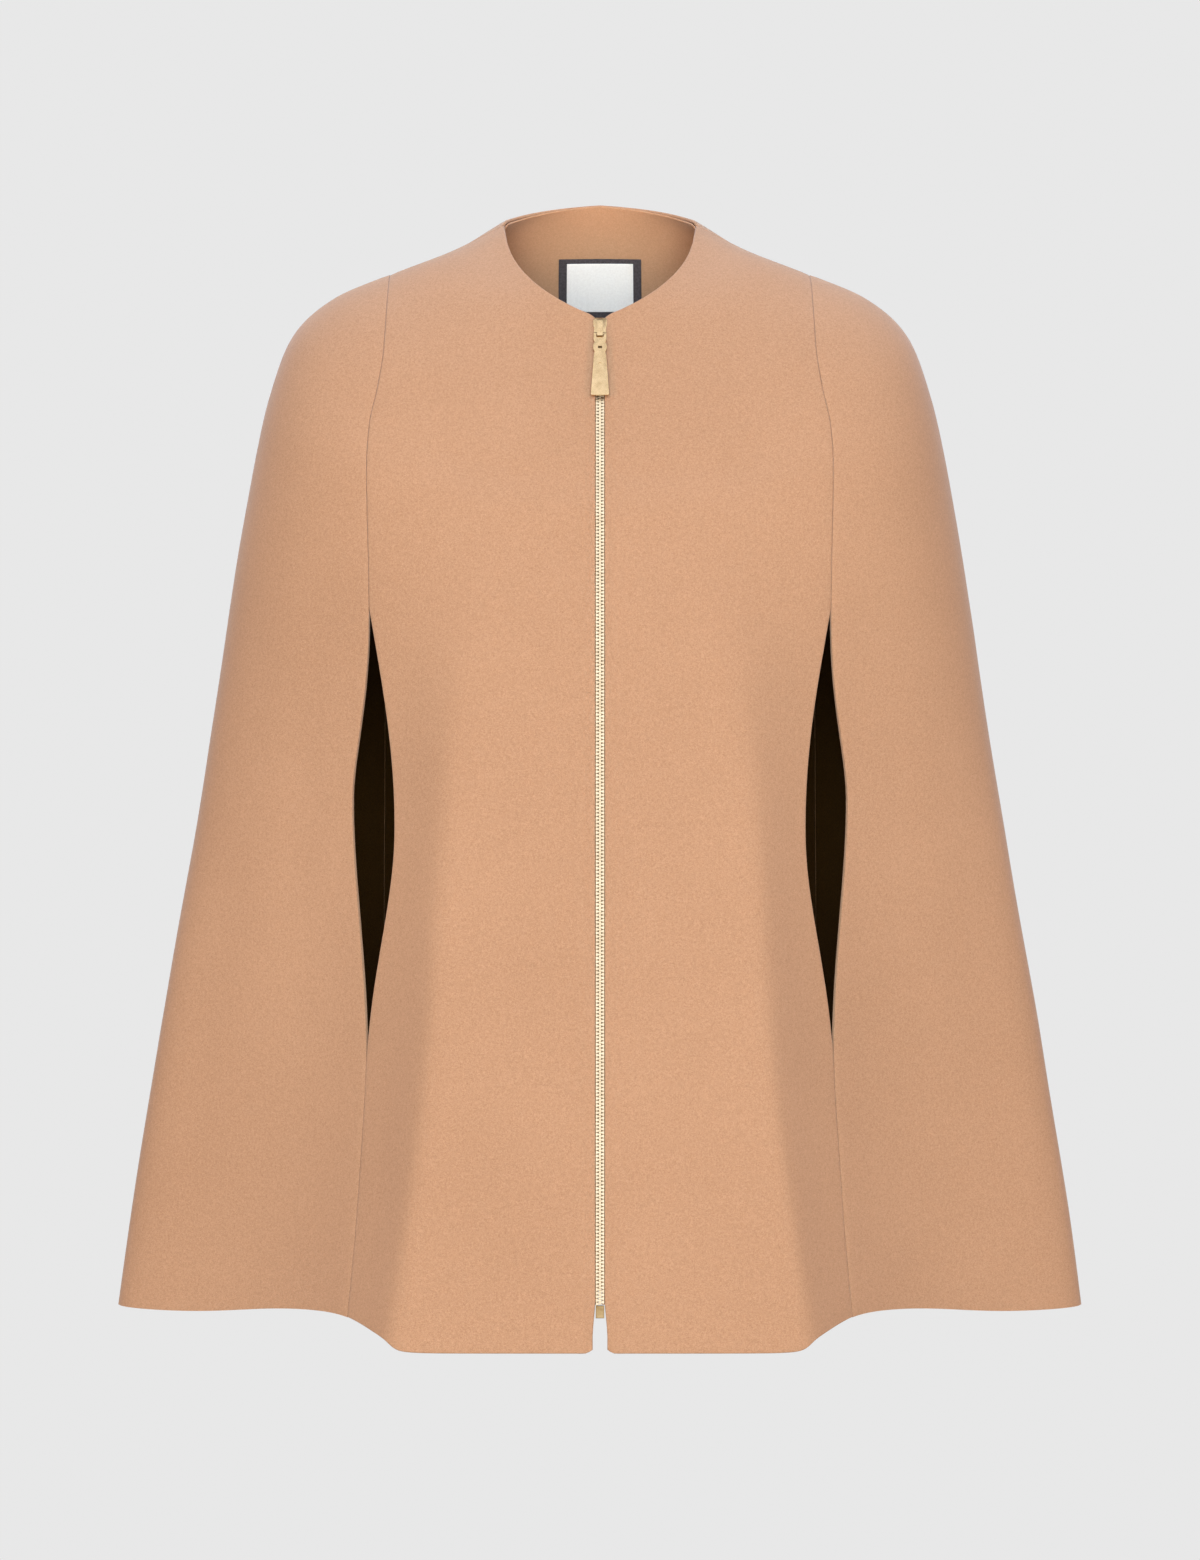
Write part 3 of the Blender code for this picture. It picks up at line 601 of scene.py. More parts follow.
CAP_START = fanned(SECOND_ROW, SHOULDER_TIP)
CAPE_ROWS = [fanned(level, SHOULDER_TIP) for level in BODY_ROWS[1:]]
CAPE_COLUMNS = np.linspace(0, 1, 73)


def cape_half(shares, level, front):
    """Places from the side, share 0, to the seam, share 1. The first row is the shoulder's seam."""
    if level <= CAP_START:
        found = []
        for share in shares:
            section = half_section(float(CAPE_TIP + (CAP_START - CAPE_TIP) * share**2), front)
            found.append(rows_where(*section, [seam_length(section, front, 1)])[0])
        return np.array(found)
    section = half_section(level, front)
    rows, lengths = section
    start = seam_length(section, front, 1)
    return rows_where(rows, lengths, lengths[-1] - np.asarray(shares) * (lengths[-1] - start))


def cape_panel(across, level):
    before = across[across <= 0.5]
    after = across[across > 0.5]
    front = cape_half(1 - 2 * before, level, True)
    back = cape_half(2 * after - 1, level, False)
    return np.vstack([front, back])


for side, mirrored in (("left", False), ("right", True)):
    rows = cloth_rows(cape_panel, CAPE_ROWS, CAPE_COLUMNS, mirrored)
    piece = wall(f"cape_side_{side}", rows, (0, CLOTH), wool, "wool", EDGE_ROUND)
    declare(f"cape_{side}", rows)


# Back. One wool panel, cut whole, seamed to the fronts along the shoulders and to the cape sides
# below them. It falls in one long soft fold a side.

BACK_COLUMNS = np.linspace(0, 1, 113)


def back_panel(across, level):
    outward = across * 2 - 1
    shares = np.round(abs(outward), 9)
    found = body_row(shares, level, False)
    found[:, [0, 3]] *= np.sign(outward)[:, None]
    return found


rows = cloth_rows(back_panel, BODY_ROWS, BACK_COLUMNS)
piece = wall("back_panel", rows, (0, CLOTH), wool, "wool", EDGE_ROUND)
declare("back", rows)


# Back neck facing. A shaped strip of the same wool, shaved thinner, lines the back of the neck and
# the shoulders. It is felled by hand to the back panel.

FACING, FACING_GAP, FACING_ROUND = 1.2, 0.6, 0.5
FACING_FOOT = 2.25  # its last level
FACING_FROM, FACING_TO = 0.083, 0.917  # shares of the back's width
FACING_UNDER = CLOTH + FACING_GAP + FACING

# Painted light: the same wool's colour made lighter, to brighten the shaded inside of the neck.
painted_light_facing_wool = felted_wool(
    "painted_light_facing_wool", (0.415, 0.215, 0.103), (0.49, 0.26, 0.13), (0.565, 0.31, 0.16)
)
facing_rows = BODY_ROWS[BODY_ROWS <= FACING_FOOT]
facing_columns = BACK_COLUMNS[(BACK_COLUMNS > FACING_FROM) & (BACK_COLUMNS < FACING_TO)]
rows = cloth_rows(back_panel, facing_rows, facing_columns)
depths = (CLOTH + FACING_GAP, FACING_UNDER)
piece = wall("neck_facing", rows, depths, painted_light_facing_wool, "wool", FACING_ROUND)
declare("back_neck_facing", rows)


# Linings. Dark brown twill, cut a little shorter than the wool and sewn inside the back and the
# cape sides. It shows through the arm slits and from below.

LINING, LINING_GAP, LINING_ROUND = 1.0, 1.3, 0.4
LINING_TOP, LINING_SECOND, LINING_FOOT = 2.4, 3, 10.8
SEWN_IN = 0.0005  # share of the width that the lining stops short of its seam
LINED_FROM = 16  # the cape side's first lined column, counted from its front edge
TWILL_PITCH = 0.0011


def twill_lining():
    """Fine slanting ribs that catch a little light, in a nearly black brown."""
    look = Look("twill_lining")
    weave = look.add("ShaderNodeUVMap")
    weave.uv_map = "weave"
    split = look.add("ShaderNodeSeparateXYZ", Vector=weave.outputs["UV"])
    slant = look.maths("ADD", split.outputs["X"], split.outputs["Y"])
    rib = look.maths("SINE", look.maths("MULTIPLY", slant, 2 * math.pi / TWILL_PITCH))
    threads = look.noise(1200, 3)
    tone = look.maths("MULTIPLY_ADD", rib, 0.22, threads)
    colour = look.ramp(tone, (0.3, (0.02, 0.0085, 0.001)), (0.75, (0.06, 0.029, 0.004)))
    return look.finish(
        Base_Color=colour,
        Roughness=0.6,
        Specular_IOR_Level=0.12,
        Normal=look.bump(tone, 0.0002),
    )


lining = twill_lining()
depths = (CLOTH + LINING_GAP, CLOTH + LINING_GAP + LINING)
lined = BODY_ROWS[(BODY_ROWS > LINING_SECOND) & (BODY_ROWS < LINING_FOOT)]
lining_rows = np.concatenate([[LINING_TOP], lined])
lined_columns = np.concatenate([[SEWN_IN], BACK_COLUMNS[1:-1], [1 - SEWN_IN]])
rows = cloth_rows(back_panel, lining_rows, lined_columns)
piece = wall("back_lining", rows, depths, lining, "lining", LINING_ROUND)
declare("lining_back", rows)
lining_rows = [level for level in CAPE_ROWS if LINING_TOP < level < LINING_FOOT]
lined_columns = np.append(CAPE_COLUMNS[LINED_FROM:-1], 1 - SEWN_IN)
for side, mirrored in (("left", False), ("right", True)):
    rows = cloth_rows(cape_panel, lining_rows, lined_columns, mirrored)
    piece = wall(f"cape_lining_{side}", rows, depths, lining, "lining", LINING_ROUND)
    declare(f"lining_cape_{side}", rows)


# Label. A charcoal woven ground holds a white satin label in the back of the neck. Both are bare,
# with folded edges, and stitched down all round.

PATCH_WIDTH, PATCH_TOP, PATCH_FOOT = 62, -14, -60
LABEL_WIDTH, LABEL_TOP, LABEL_FOOT = 50, -17, -51.5
PATCH_THICK, LABEL_THICK, LABEL_GAP, ROUND_SHARE = 1.0, 0.6, 0.45, 0.4
LABEL_ROWS, LABEL_COLUMNS, RING_POINTS = 25, 33, 60
STITCH_LONG, STITCH_PITCH, STITCH_THICK, STITCH_INSET = 1.7, 2.5, 0.34, 1.5
STITCH_TURN = 0.3  # length each way over which a stitch takes its direction


def strip(inner_x, outer_x, front):
    """A panel between two lines that run down the front or the back."""

    def panel(across, level):
        x = inner_x + (outer_x - inner_x) * across
        rows = half_section(level, front).rows
        found = rows_where(rows, rows[:, 0], abs(x))
        found[:, [0, 3]] *= np.where(x < 0, -1, 1)[:, None]
        return found

    return panel


def stitches(name, path, normals, material, slot):
    """Short threads laid end to end along a path of points, lying on its surface."""
    bm = bmesh.new()
    travelled = lengths_along(path)
    for middle in np.arange(STITCH_PITCH / 2, travelled[-1], STITCH_PITCH):
        point = Vector(rows_where(path, travelled, [middle])[0])
        ahead = Vector(rows_where(path, travelled, [middle + STITCH_TURN])[0])
        behind = Vector(rows_where(path, travelled, [middle - STITCH_TURN])[0])
        up = Vector(rows_where(normals, travelled, [middle])[0]).normalized()
        along = (ahead - behind).normalized()
        aside = up.cross(along).normalized()
        turn = Matrix((along, aside, along.cross(aside))).transposed().to_4x4()
        size = Matrix.Diagonal((STITCH_LONG / 2, STITCH_THICK / 2, STITCH_THICK / 2, 1))
        place = Matrix.Translation(point * MM) @ turn @ Matrix.Scale(MM, 4) @ size
        bmesh.ops.create_icosphere(bm, subdivisions=1, radius=1, matrix=place)
    return show(name, bm, material, slot=slot)


def border(rows, inset, depth):
    """The closed line round a sheet, a little inside its edges, and its normals."""
    points = rows[..., :3] - rows[..., 3:] * depth
    normals = rows[..., 3:]
    wide = np.linalg.norm(points[0, -1] - points[0, 0])
    tall = np.linalg.norm(points[-1, 0] - points[0, 0])
    u = np.linspace(inset / wide, 1 - inset / wide, RING_POINTS)
    v = np.linspace(inset / tall, 1 - inset / tall, RING_POINTS)
    ring = [(a, v[0]) for a in u]
    ring += [(u[-1], b) for b in v]
    ring += [(a, v[-1]) for a in u[::-1]]
    ring += [(u[0], b) for b in v[::-1]]
    down, right = np.array(rows.shape[:2]) - 1

    def at(grid, a, b):
        i, j = min(int(b * down), down - 1), min(int(a * right), right - 1)
        s, t = b * down - i, a * right - j
        top = grid[i, j] * (1 - t) + grid[i, j + 1] * t
        foot = grid[i + 1, j] * (1 - t) + grid[i + 1, j + 1] * t
        return top * (1 - s) + foot * s

    path = np.array([at(points, a, b) for a, b in ring])
    return path, np.array([at(normals, a, b) for a, b in ring])


def plain_weave(name, dark, light, pitch, roughness, sheen, relief_depth):
    """Threads over and under each other, drawn along the sheet's own weave."""
    look = Look(name)
    weave = look.add("ShaderNodeUVMap")
    weave.uv_map = "weave"
    split = look.add("ShaderNodeSeparateXYZ", Vector=weave.outputs["UV"])
    turns = 2 * math.pi / pitch
    warp = look.maths("SINE", look.maths("MULTIPLY", split.outputs["X"], turns))
    weft = look.maths("SINE", look.maths("MULTIPLY", split.outputs["Y"], turns))
    over = look.maths("MULTIPLY", warp, weft)
    tone = look.maths("MULTIPLY_ADD", over, 0.2, look.noise(700, 3))
    colour = look.ramp(tone, (0.3, dark), (0.7, light))
    return look.finish(
        Base_Color=colour,
        Roughness=roughness,
        Specular_IOR_Level=0.4,
        Sheen_Weight=sheen,
        Normal=look.bump(tone, relief_depth),
    )


ground = plain_weave(
    "charcoal_ground", (0.04, 0.031, 0.03), (0.085, 0.068, 0.064), 0.0009, 0.8, 0.1, 0.00015
)
satin = plain_weave(
    "white_satin", (0.9, 0.815, 0.69), (0.98, 0.9, 0.77), 0.0006, 0.34, 0.2, 0.00005
)
depth = FACING_UNDER
for name, node, width, top_z, foot_z, thick, weave, slot in (
    ("label_ground", "label_patch", PATCH_WIDTH, PATCH_TOP, PATCH_FOOT, PATCH_THICK,
     ground, "patch"),
    ("satin_label", "label", LABEL_WIDTH, LABEL_TOP, LABEL_FOOT, LABEL_THICK,
     satin, "label"),
):
    depth += LABEL_GAP
    levels = np.linspace(level_at(top_z, 0, False), level_at(foot_z, 0, False), LABEL_ROWS)
    panel = strip(-width / 2, width / 2, False)
    rows = cloth_rows(panel, levels, np.linspace(0, 1, LABEL_COLUMNS))
    piece = wall(name, rows, (depth, depth + thick), weave, slot, thick * ROUND_SHARE)
    declare(node, rows)
    depth += thick
    path, normals = border(rows, STITCH_INSET, depth)
    stitches(f"{name}_stitches", path, normals, weave, slot)


# Zip tapes. Woven tapes in the cloth's colour, a little stiffer than it, sewn behind the front
# edges with one row of stitching each.

TAPE, TAPE_GAP = 1.0, 0.45
TAPE_INNER_X, TAPE_OUTER_X, TAPE_STITCH_X = 1.3, 15, 9
TAPE_ROWS, TAPE_COLUMNS, TAPE_ROUND = 160, 9, 0.3
SLIDER_TOP_Z, BOX_LENGTH, TAPE_ABOVE_BOX = -76.3, 8.6, 0.3
TAPE_UNDER = CLOTH + TAPE_GAP + TAPE

tape_weave = plain_weave(
    "zip_tape_weave", (0.44, 0.25, 0.14), (0.6, 0.37, 0.22), 0.001, 0.8, 0.15, 0.0002
)
tape_top = level_at(SLIDER_TOP_Z, FRONT_EDGE_X, True)
tape_foot = level_at(BOX_FOOT_Z + BOX_LENGTH + TAPE_ABOVE_BOX, 0, True)
tape_levels = np.linspace(tape_top, tape_foot, TAPE_ROWS)
tape_columns = np.linspace(0, 1, TAPE_COLUMNS)
tape_strip = strip(TAPE_INNER_X, TAPE_OUTER_X, True)
stitch_strip = strip(TAPE_STITCH_X, TAPE_STITCH_X + 1, True)
depths = (CLOTH + TAPE_GAP, TAPE_UNDER)
for side, mirrored in (("left", False), ("right", True)):
    rows = cloth_rows(tape_strip, tape_levels, tape_columns, mirrored)
    piece = wall(f"woven_tape_{side}", rows, depths, tape_weave, "tape", TAPE_ROUND)
    declare(f"zip_tape_{side}", rows)
    line = cloth_rows(stitch_strip, tape_levels, np.array([0.0, 1.0]), mirrored)[:, 0]
    path, normals = line[:, :3] - line[:, 3:] * TAPE_UNDER, line[:, 3:]
    stitches(f"tape_stitches_{side}", path, normals, tape_weave, "tape")


# Teeth. A closed metal chain of medium size. Each brass tooth is clamped on its tape's edge and
# its narrower head reaches between two teeth of the other side.

TEETH_WIDTH, TEETH_PROUD, TEETH_DEPTH = 5.9, 0.4, 2.1
TOOTH_PITCH, FOOT_TALL, FOOT_INNER_X = 2.45, 2.25, 1.75
ARM_SHARE, ARM_SLOPE = 0.58, 0.35  # height to the foot's, and over what length it narrows
HEAD_REACH, HEAD_SHARE = 1.0, 0.88
TOOTH_ROUND, FIRST_TOOTH, LAST_TOOTH = 0.24, 0.6, 0.5
BELOW_SLIDER, ABOVE_BOX, CHAIN_SAMPLES = 1.5, 0.2, 300
SLIDER_LENGTH, SLIDER_DROP = 16.8, 0.93  # the drop is its height for each length down the slope


def plated_brass(name, dark, light, roughness):
    """Pale gold plating, faintly brushed, a little duller where it is handled."""
    look = Look(name)
    wear = look.noise(160, 3)
    colour = look.ramp(wear, (0.35, dark), (0.65, light))
    dulled = look.maths("MULTIPLY_ADD", look.noise(420, 2), 0.16, roughness - 0.08)
    return look.finish(
        Base_Color=colour,
        Metallic=1,
        Roughness=dulled,
        Normal=look.bump(look.noise(1500, 2), 0.00002),
    )


tooth_brass = plated_brass("tooth_brass", (0.76, 0.63, 0.45), (0.88, 0.76, 0.57), 0.3)


def tooth():
    """One tooth of the wearer's left side, its length along X, facing -Y."""
    bm = bmesh.new()
    thick = TEETH_PROUD + TEETH_DEPTH
    outer = TEETH_WIDTH / 2
    middle = ((outer + FOOT_INNER_X) / 2, (TEETH_DEPTH - TEETH_PROUD) / 2, 0)
    sizes = Matrix.Diagonal((outer - FOOT_INNER_X, thick, FOOT_TALL, 1))
    bmesh.ops.create_cube(bm, size=1, matrix=Matrix.Translation(middle) @ sizes)
    end = [face for face in bm.faces if face.normal.x < -0.9]
    arm = FOOT_INNER_X - ARM_SLOPE + HEAD_REACH
    for reach, share in ((ARM_SLOPE, ARM_SHARE), (arm, HEAD_SHARE)):
        end = bmesh.ops.extrude_discrete_faces(bm, faces=end)["faces"]
        verts = end[0].verts
        centre = end[0].calc_center_median()
        bmesh.ops.translate(bm, verts=verts, vec=(-reach, 0, 0))
        bmesh.ops.scale(bm, verts=verts, vec=(1, HEAD_SHARE, share),
                        space=Matrix.Translation(-centre))
    bmesh.ops.remove_doubles(bm, verts=bm.verts[:], dist=0.001)
    soften(bm, bm.edges[:], TOOTH_ROUND, 1)
    bmesh.ops.scale(bm, verts=bm.verts[:], vec=(MM, MM, MM))
    return as_mesh("tooth", bm)


def on_the_front(rows):
    """Where a place down the middle of the front lies, with X across, Y into the cloth, Z up."""
    points, normals = rows[:, :3], rows[:, 3:]
    travelled = lengths_along(points)

    def frame_at(length):
        point = Vector(rows_where(points, travelled, [length])[0])
        inward = -Vector(rows_where(normals, travelled, [length])[0])
        inward.x = 0
        inward.normalize()
        upward = Vector((1, 0, 0)).cross(inward)
        turn = Matrix((Vector((1, 0, 0)), inward, upward)).transposed().to_4x4()
        return Matrix.Translation(point * MM) @ turn

    return frame_at, travelled[-1]


def chest_point(down):
    """The cloth's edge beside the teeth, a length below the slider's top."""
    z = SLIDER_TOP_Z - down * SLIDER_DROP
    rows = half_section(level_at(z, FRONT_EDGE_X, True), True).rows
    return rows_where(rows, rows[:, 0], [FRONT_EDGE_X])[0, :3] * (0, 1, 1)


chain_top = level_at(chest_point(SLIDER_LENGTH)[2] + BELOW_SLIDER, 0, True)
chain_foot = level_at(BOX_FOOT_Z + BOX_LENGTH + ABOVE_BOX, 0, True)
chain_levels = np.linspace(chain_top, chain_foot, CHAIN_SAMPLES)
chain = np.array([half_section(float(level), True).rows[0] for level in chain_levels])
chain_at, chain_length = on_the_front(chain)
one_tooth = tooth()
for side, first, turned in (
    ("left", FIRST_TOOTH, Matrix.Identity(4)),
    ("right", FIRST_TOOTH + TOOTH_PITCH / 2, Matrix.Diagonal((-1, 1, 1, 1))),
):
    bm = bmesh.new()
    for length in np.arange(first, chain_length - LAST_TOOTH, TOOTH_PITCH):
        before = len(bm.verts)
        bm.from_mesh(one_tooth)
        bm.verts.ensure_lookup_table()
        bmesh.ops.transform(bm, matrix=chain_at(length) @ turned, verts=bm.verts[before:])
    bmesh.ops.recalc_face_normals(bm, faces=bm.faces[:])
    teeth = show(f"teeth_{side}", bm, tooth_brass, slot="brass")
    teeth.data.set_sharp_from_angle(angle=math.radians(30))
    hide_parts("zip_teeth")
bpy.data.meshes.remove(one_tooth)


# Retainer box. A small plated block closes the chain's foot and takes the pin when the coat is
# done up.

BOX_WIDTH, BOX_PROUD, BOX_GRID, BOX_ROUND = 5.8, 0.9, 7, 0.6

# Painted shade: the box's brass is coloured much darker than the slider's, in place of the dark
# reflections it shows; it is also rougher.
dull_brass_painted_shade = plated_brass("dull_brass_painted_shade", (0.36, 0.24, 0.11), (0.52, 0.37, 0.19), 0.42)
box_top = level_at(BOX_FOOT_Z + BOX_LENGTH, 0, True)
box_levels = np.linspace(box_top, level_at(BOX_FOOT_Z, 0, True), BOX_GRID)
box_strip = strip(-BOX_WIDTH / 2, BOX_WIDTH / 2, True)
rows = np.array([box_strip(np.linspace(0, 1, BOX_GRID), level) for level in box_levels])
box = wall("retainer_box", rows, (-BOX_PROUD, TEETH_DEPTH), dull_brass_painted_shade, "brass", BOX_ROUND)
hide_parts("zip_box")


# Slider. Two die-cast plates joined by a post between the tapes, with a bridge on the front one
# for the pull. It is made upright and then laid along the slope of the chest.

SHIELD = [(3.4, 0), (4.9, -1.6), (4.9, -5.2), (4.3, -8.5), (4.3, -16), (3.5, -SLIDER_LENGTH)]
PLATE_FRONT, PLATE_BACK = -1.8, -0.5
REAR_FRONT, REAR_BACK = 4.4, 5.4
POST_HALF, POST_TOP, POST_FOOT = 0.9, -0.4, -6.5
SUNK = 0.4
BAR_ROOM, BAR_Z = 0.85, -13.2
BAR_Y = PLATE_FRONT - 0.3 - BAR_ROOM
ARCH_UNDER = BAR_Y - BAR_ROOM - 0.3
ARCH_FACE = ARCH_UNDER - 1.1
ARCH_HALF, ARCH_TOP, ARCH_FOOT = 2.0, -0.8, -15.6
ARCH_SIDE = [
    (PLATE_FRONT + SUNK, ARCH_TOP),
    (ARCH_UNDER + 0.9, ARCH_TOP),
    (ARCH_FACE + 0.3, ARCH_TOP - 1.5),
    (ARCH_FACE, ARCH_TOP - 3),
    (ARCH_FACE, ARCH_FOOT + 1.5),
    (ARCH_FACE + 0.8, ARCH_FOOT),
    (PLATE_FRONT + SUNK, ARCH_FOOT),
    (PLATE_FRONT + SUNK, ARCH_FOOT + 1.1),
    (ARCH_UNDER + 0.3, ARCH_FOOT + 1.1),
    (ARCH_UNDER, ARCH_FOOT + 1.6),
    (ARCH_UNDER, ARCH_TOP - 3.4),
    (ARCH_UNDER + 0.9, ARCH_TOP - 2.2),
    (PLATE_FRONT + SUNK, ARCH_TOP - 2.2),
]

slider_top, slider_foot = chest_point(0), chest_point(SLIDER_LENGTH)
slope = math.atan2(slider_top[1] - slider_foot[1], slider_top[2] - slider_foot[2])
chest = Matrix.Translation(Vector(slider_top) * MM) @ Matrix.Rotation(-slope, 4, "X")


def cast(corners, along, corner_round, edge_round):
    """A flat outline with rounded corners, given a thickness and soft edges."""
    bm = bmesh.new()
    bm.faces.new([bm.verts.new(corner) for corner in corners])
    soften(bm, bm.verts[:], corner_round, 4, affect="VERTICES")
    grown = bmesh.ops.extrude_face_region(bm, geom=bm.faces[:], use_keep_orig=True)["geom"]
    moved = [v for v in grown if isinstance(v, bmesh.types.BMVert)]
    bmesh.ops.translate(bm, verts=moved, vec=along)
    bmesh.ops.recalc_face_normals(bm, faces=bm.faces[:])
    if edge_round:
        way = Vector(along).normalized()
        ends = [face for face in bm.faces if abs(face.normal.dot(way)) > 0.99]
        rim = [edge for face in ends for edge in face.edges]
        soften(bm, rim, edge_round, 3)
    bmesh.ops.scale(bm, verts=bm.verts[:], vec=(MM, MM, MM))
    return bm


def plate(right, front_y, back_y, corner_round, edge_round):
    """A symmetric plate that faces -Y, from the right half of its outline."""
    outline = right + [(-x, z) for x, z in reversed(right)]
    corners = [(x, front_y, z) for x, z in outline]
    return cast(corners, (0, back_y - front_y, 0), corner_round, edge_round)


def gather(pieces, place):
    """Several castings as one mesh, moved to their place."""
    whole = bmesh.new()
    for bm in pieces:
        mesh = as_mesh("casting", bm)
        whole.from_mesh(mesh)
        bpy.data.meshes.remove(mesh)
    bmesh.ops.transform(whole, matrix=place, verts=whole.verts[:])
    return whole


brass = plated_brass("cast_brass", (0.6, 0.435, 0.25), (0.72, 0.54, 0.325), 0.24)
arch = [(-ARCH_HALF, y, z) for y, z in ARCH_SIDE]
castings = [
    plate(SHIELD, PLATE_FRONT, PLATE_BACK, 0.7, 0.4),
    plate(SHIELD, REAR_FRONT, REAR_BACK, 0.7, 0.3),
    plate([(POST_HALF, POST_TOP), (POST_HALF, POST_FOOT)], PLATE_BACK - SUNK, REAR_FRONT + SUNK,
          0.3, 0),
    cast(arch, (2 * ARCH_HALF, 0, 0), 0.35, 0.35),
]
slider = show("slider", gather(castings, chest), brass, slot="brass")
slider.data.set_sharp_from_angle(angle=math.radians(40))
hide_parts("zip_slider")


# Pull tab. Die-cast and plated, its loop hooked under the slider's bridge, and a plain sunk panel
# on its face. It swings on the bar at the head of its loop.

PULL_HALF = 0.7
LINK_TOP, LINK_FOOT, TAB_FOOT = -7.2, -15.0, -48.9
PULL = [
    (4.2, PULL_HALF),
    (4.5, PULL_HALF - 0.5),
    (4.5, LINK_TOP + 1.7),
    (3.7, LINK_TOP),
    (4.8, LINK_TOP - 1.8),
    (4.8, LINK_FOOT + 2.8),
    (3.7, LINK_FOOT),
    (4.3, LINK_FOOT - 1.6),
    (6.4, TAB_FOOT + 0.6),
    (5.8, TAB_FOOT),
]
WINDOW_FOOT = -3.5
WINDOW = [(2.6, -PULL_HALF), (2.6, WINDOW_FOOT)]
SLOT = [(1.4, LINK_TOP - 3.1), (1.4, LINK_TOP - 4.9)]
RECESS = [
    (0.5, LINK_FOOT - 8.4),
    (1.2, LINK_FOOT - 9.1),
    (1.2, TAB_FOOT + 5.5),
    (0.5, TAB_FOOT + 4.8),
]
RECESS_DEPTH = 0.4

hung = chest @ Matrix.Translation(Vector((0, BAR_Y, BAR_Z)) * MM)
shapes = []
for name, bm in (
    ("tab", plate(PULL, -PULL_HALF, PULL_HALF, 0.5, 0.25)),
    ("window", plate(WINDOW, -2 * PULL_HALF, 2 * PULL_HALF, 0.4, 0)),
    ("slot", plate(SLOT, -2 * PULL_HALF, 2 * PULL_HALF, 0.3, 0)),
    ("recess", plate(RECESS, -2 * PULL_HALF, RECESS_DEPTH - PULL_HALF, 0.3, 0)),
):
    shape = bpy.data.objects.new(name, as_mesh(name, bm))
    bpy.context.scene.collection.objects.link(shape)
    shapes.append(shape)
for cutter in shapes[1:]:
    cut = shapes[0].modifiers.new(cutter.name, "BOOLEAN")
    cut.operation = "DIFFERENCE"
    cut.object = cutter
graph = bpy.context.evaluated_depsgraph_get()
bm = bmesh.new()
bm.from_object(shapes[0], graph)
for shape in shapes:
    bpy.data.objects.remove(shape)
bmesh.ops.transform(bm, matrix=hung, verts=bm.verts[:])
pull = show("pull_tab", bm, brass, body="pull", slot="brass")
pull.data.set_sharp_from_angle(angle=math.radians(40))
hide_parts("zip_pull")


# Studio. A seamless pale sweep all round, soft square lamps, and a level camera three metres away.
# The lamps in front and above are bluish and the two at the sides are orange. Together they give
# the coat's front its even colour, and they leave its sides more orange.

SWEEP_RADIUS, SWEEP_CURVE, SWEEP_TALL, FLOOR_Z = 9, 2.5, 14, -6
BACKDROP = (0.806, 0.806, 0.806)
ON_CLOTH = 0.42  # share of the backdrop's light that falls on the cloth
IN_METAL = (-8.5, 1, 0.75, -0.7)  # what it gains in metal, between two places in front and behind
CAMERA_AWAY, CAMERA_Z, FRAME_HEIGHT, SENSOR = 3.0, -0.3996, 1.1232, 36
MIDDLE = Vector((0, 0, -0.4))  # where the lamps aim


def studio_light(tree, strength):
    """Full strength as seen, less as light on the cloth, and in the metal bright only in front."""
    rays = tree.nodes.new("ShaderNodeLightPath")
    place = tree.nodes.new("ShaderNodeTexCoord")
    split = tree.nodes.new("ShaderNodeSeparateXYZ")
    ahead = tree.nodes.new("ShaderNodeMapRange")
    tree.links.new(place.outputs["Object"], split.inputs[0])
    tree.links.new(split.outputs["Y"], ahead.inputs["Value"])
    for name, value in zip(("From Min", "From Max", "To Min", "To Max"), IN_METAL):
        ahead.inputs[name].default_value = value
    in_metal = tree.nodes.new("ShaderNodeMath")
    in_metal.operation = "MULTIPLY_ADD"
    tree.links.new(rays.outputs["Is Glossy Ray"], in_metal.inputs[0])
    tree.links.new(ahead.outputs["Result"], in_metal.inputs[1])
    in_metal.inputs[2].default_value = 1
    share = tree.nodes.new("ShaderNodeMath")
    share.operation = "MULTIPLY_ADD"
    tree.links.new(rays.outputs["Is Diffuse Ray"], share.inputs[0])
    share.inputs[1].default_value = ON_CLOTH - 1
    tree.links.new(in_metal.outputs[0], share.inputs[2])
    tree.links.new(share.outputs[0], strength)


bm = bmesh.new()
profile = [bm.verts.new((0, 0, FLOOR_Z)), bm.verts.new((SWEEP_RADIUS - SWEEP_CURVE, 0, FLOOR_Z))]
for turn in np.linspace(0, math.pi / 2, 13)[1:]:
    out = SWEEP_RADIUS - SWEEP_CURVE + SWEEP_CURVE * math.sin(turn)
    up = FLOOR_Z + SWEEP_CURVE * (1 - math.cos(turn))
    profile.append(bm.verts.new((out, 0, up)))
profile.append(bm.verts.new((SWEEP_RADIUS, 0, SWEEP_TALL)))
edges = [bm.edges.new(pair) for pair in zip(profile, profile[1:])]
bmesh.ops.spin(bm, geom=profile + edges, cent=(0, 0, 0), axis=(0, 0, 1), angle=2 * math.pi,
               steps=64, use_merge=True)
bmesh.ops.remove_doubles(bm, verts=bm.verts[:], dist=0.0001)
mesh = as_mesh("studio_sweep", bm)
mesh.shade_smooth()
paper = bpy.data.materials.new("pale_paper")
paper.use_nodes = True
shader = paper.node_tree.nodes["Principled BSDF"]
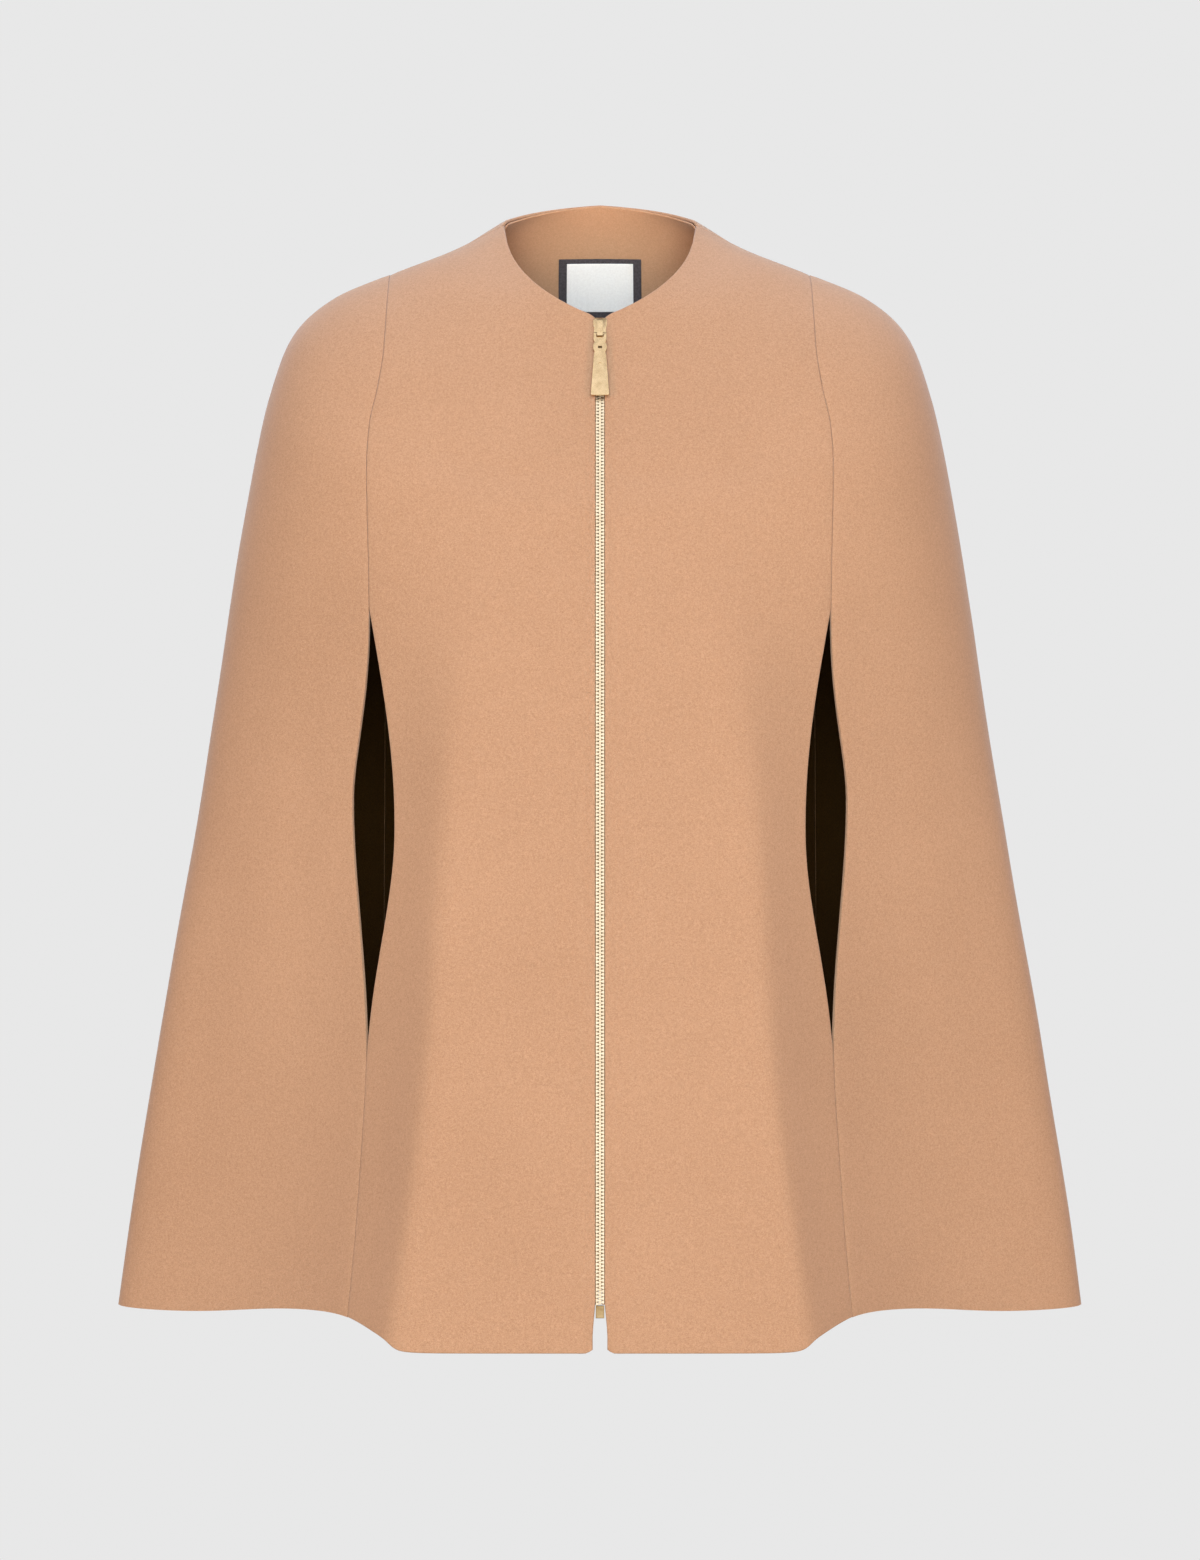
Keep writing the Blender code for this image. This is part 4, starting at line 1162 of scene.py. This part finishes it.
shader.inputs["Base Color"].default_value = (0, 0, 0, 1)
shader.inputs["Specular IOR Level"].default_value = 0
shader.inputs["Roughness"].default_value = 1
shader.inputs["Emission Color"].default_value = (*BACKDROP, 1)
studio_light(paper.node_tree, shader.inputs["Emission Strength"])
mesh.materials.append(paper)
sweep = bpy.data.objects.new("studio_sweep", mesh)
bpy.context.scene.collection.objects.link(sweep)

world = bpy.data.worlds.new("studio")
world.use_nodes = True
backdrop = world.node_tree.nodes["Background"]
backdrop.inputs["Color"].default_value = (*BACKDROP, 1)
studio_light(world.node_tree, backdrop.inputs["Strength"])
bpy.context.scene.world = world

Lamp = namedtuple("Lamp", "name place size watts colour")
for lamp in (
    Lamp("window", (0, -4.5, 0.1), 3.0, 152, (0.94, 0.975, 1)),
    Lamp("key", (0.25, -4.4, 1.5), 2.4, 116, (0.4, 0.63, 1)),
    Lamp("low fill", (-0.15, -4.2, -0.9), 1.8, 50, (0.93, 0.96, 1)),
    Lamp("top", (0, 0.9, 2.6), 1.6, 103, (0.52, 0.66, 1)),
    Lamp("left", (3.4, -2.6, 0.2), 1.6, 41, (1, 0.35, 0.08)),
    Lamp("right", (-3.4, -2.6, 0.2), 1.6, 41, (1, 0.35, 0.08)),
):
    light = bpy.data.lights.new(lamp.name, "AREA")
    light.size = lamp.size
    light.energy = lamp.watts
    light.color = lamp.colour
    stand = bpy.data.objects.new(lamp.name, light)
    stand.location = lamp.place
    stand.rotation_euler = (MIDDLE - stand.location).to_track_quat("-Z", "Y").to_euler()
    stand.visible_glossy = False
    bpy.context.scene.collection.objects.link(stand)

camera = bpy.data.cameras.new("camera")
camera.sensor_width = SENSOR
camera.lens = SENSOR * CAMERA_AWAY / FRAME_HEIGHT
viewer = bpy.data.objects.new("camera", camera)
viewer.location = (0, -CAMERA_AWAY, CAMERA_Z)
viewer.rotation_euler = (math.pi / 2, 0, 0)
bpy.context.scene.collection.objects.link(viewer)
bpy.context.scene.camera = viewer
bpy.context.scene.view_settings.view_transform = "Standard"
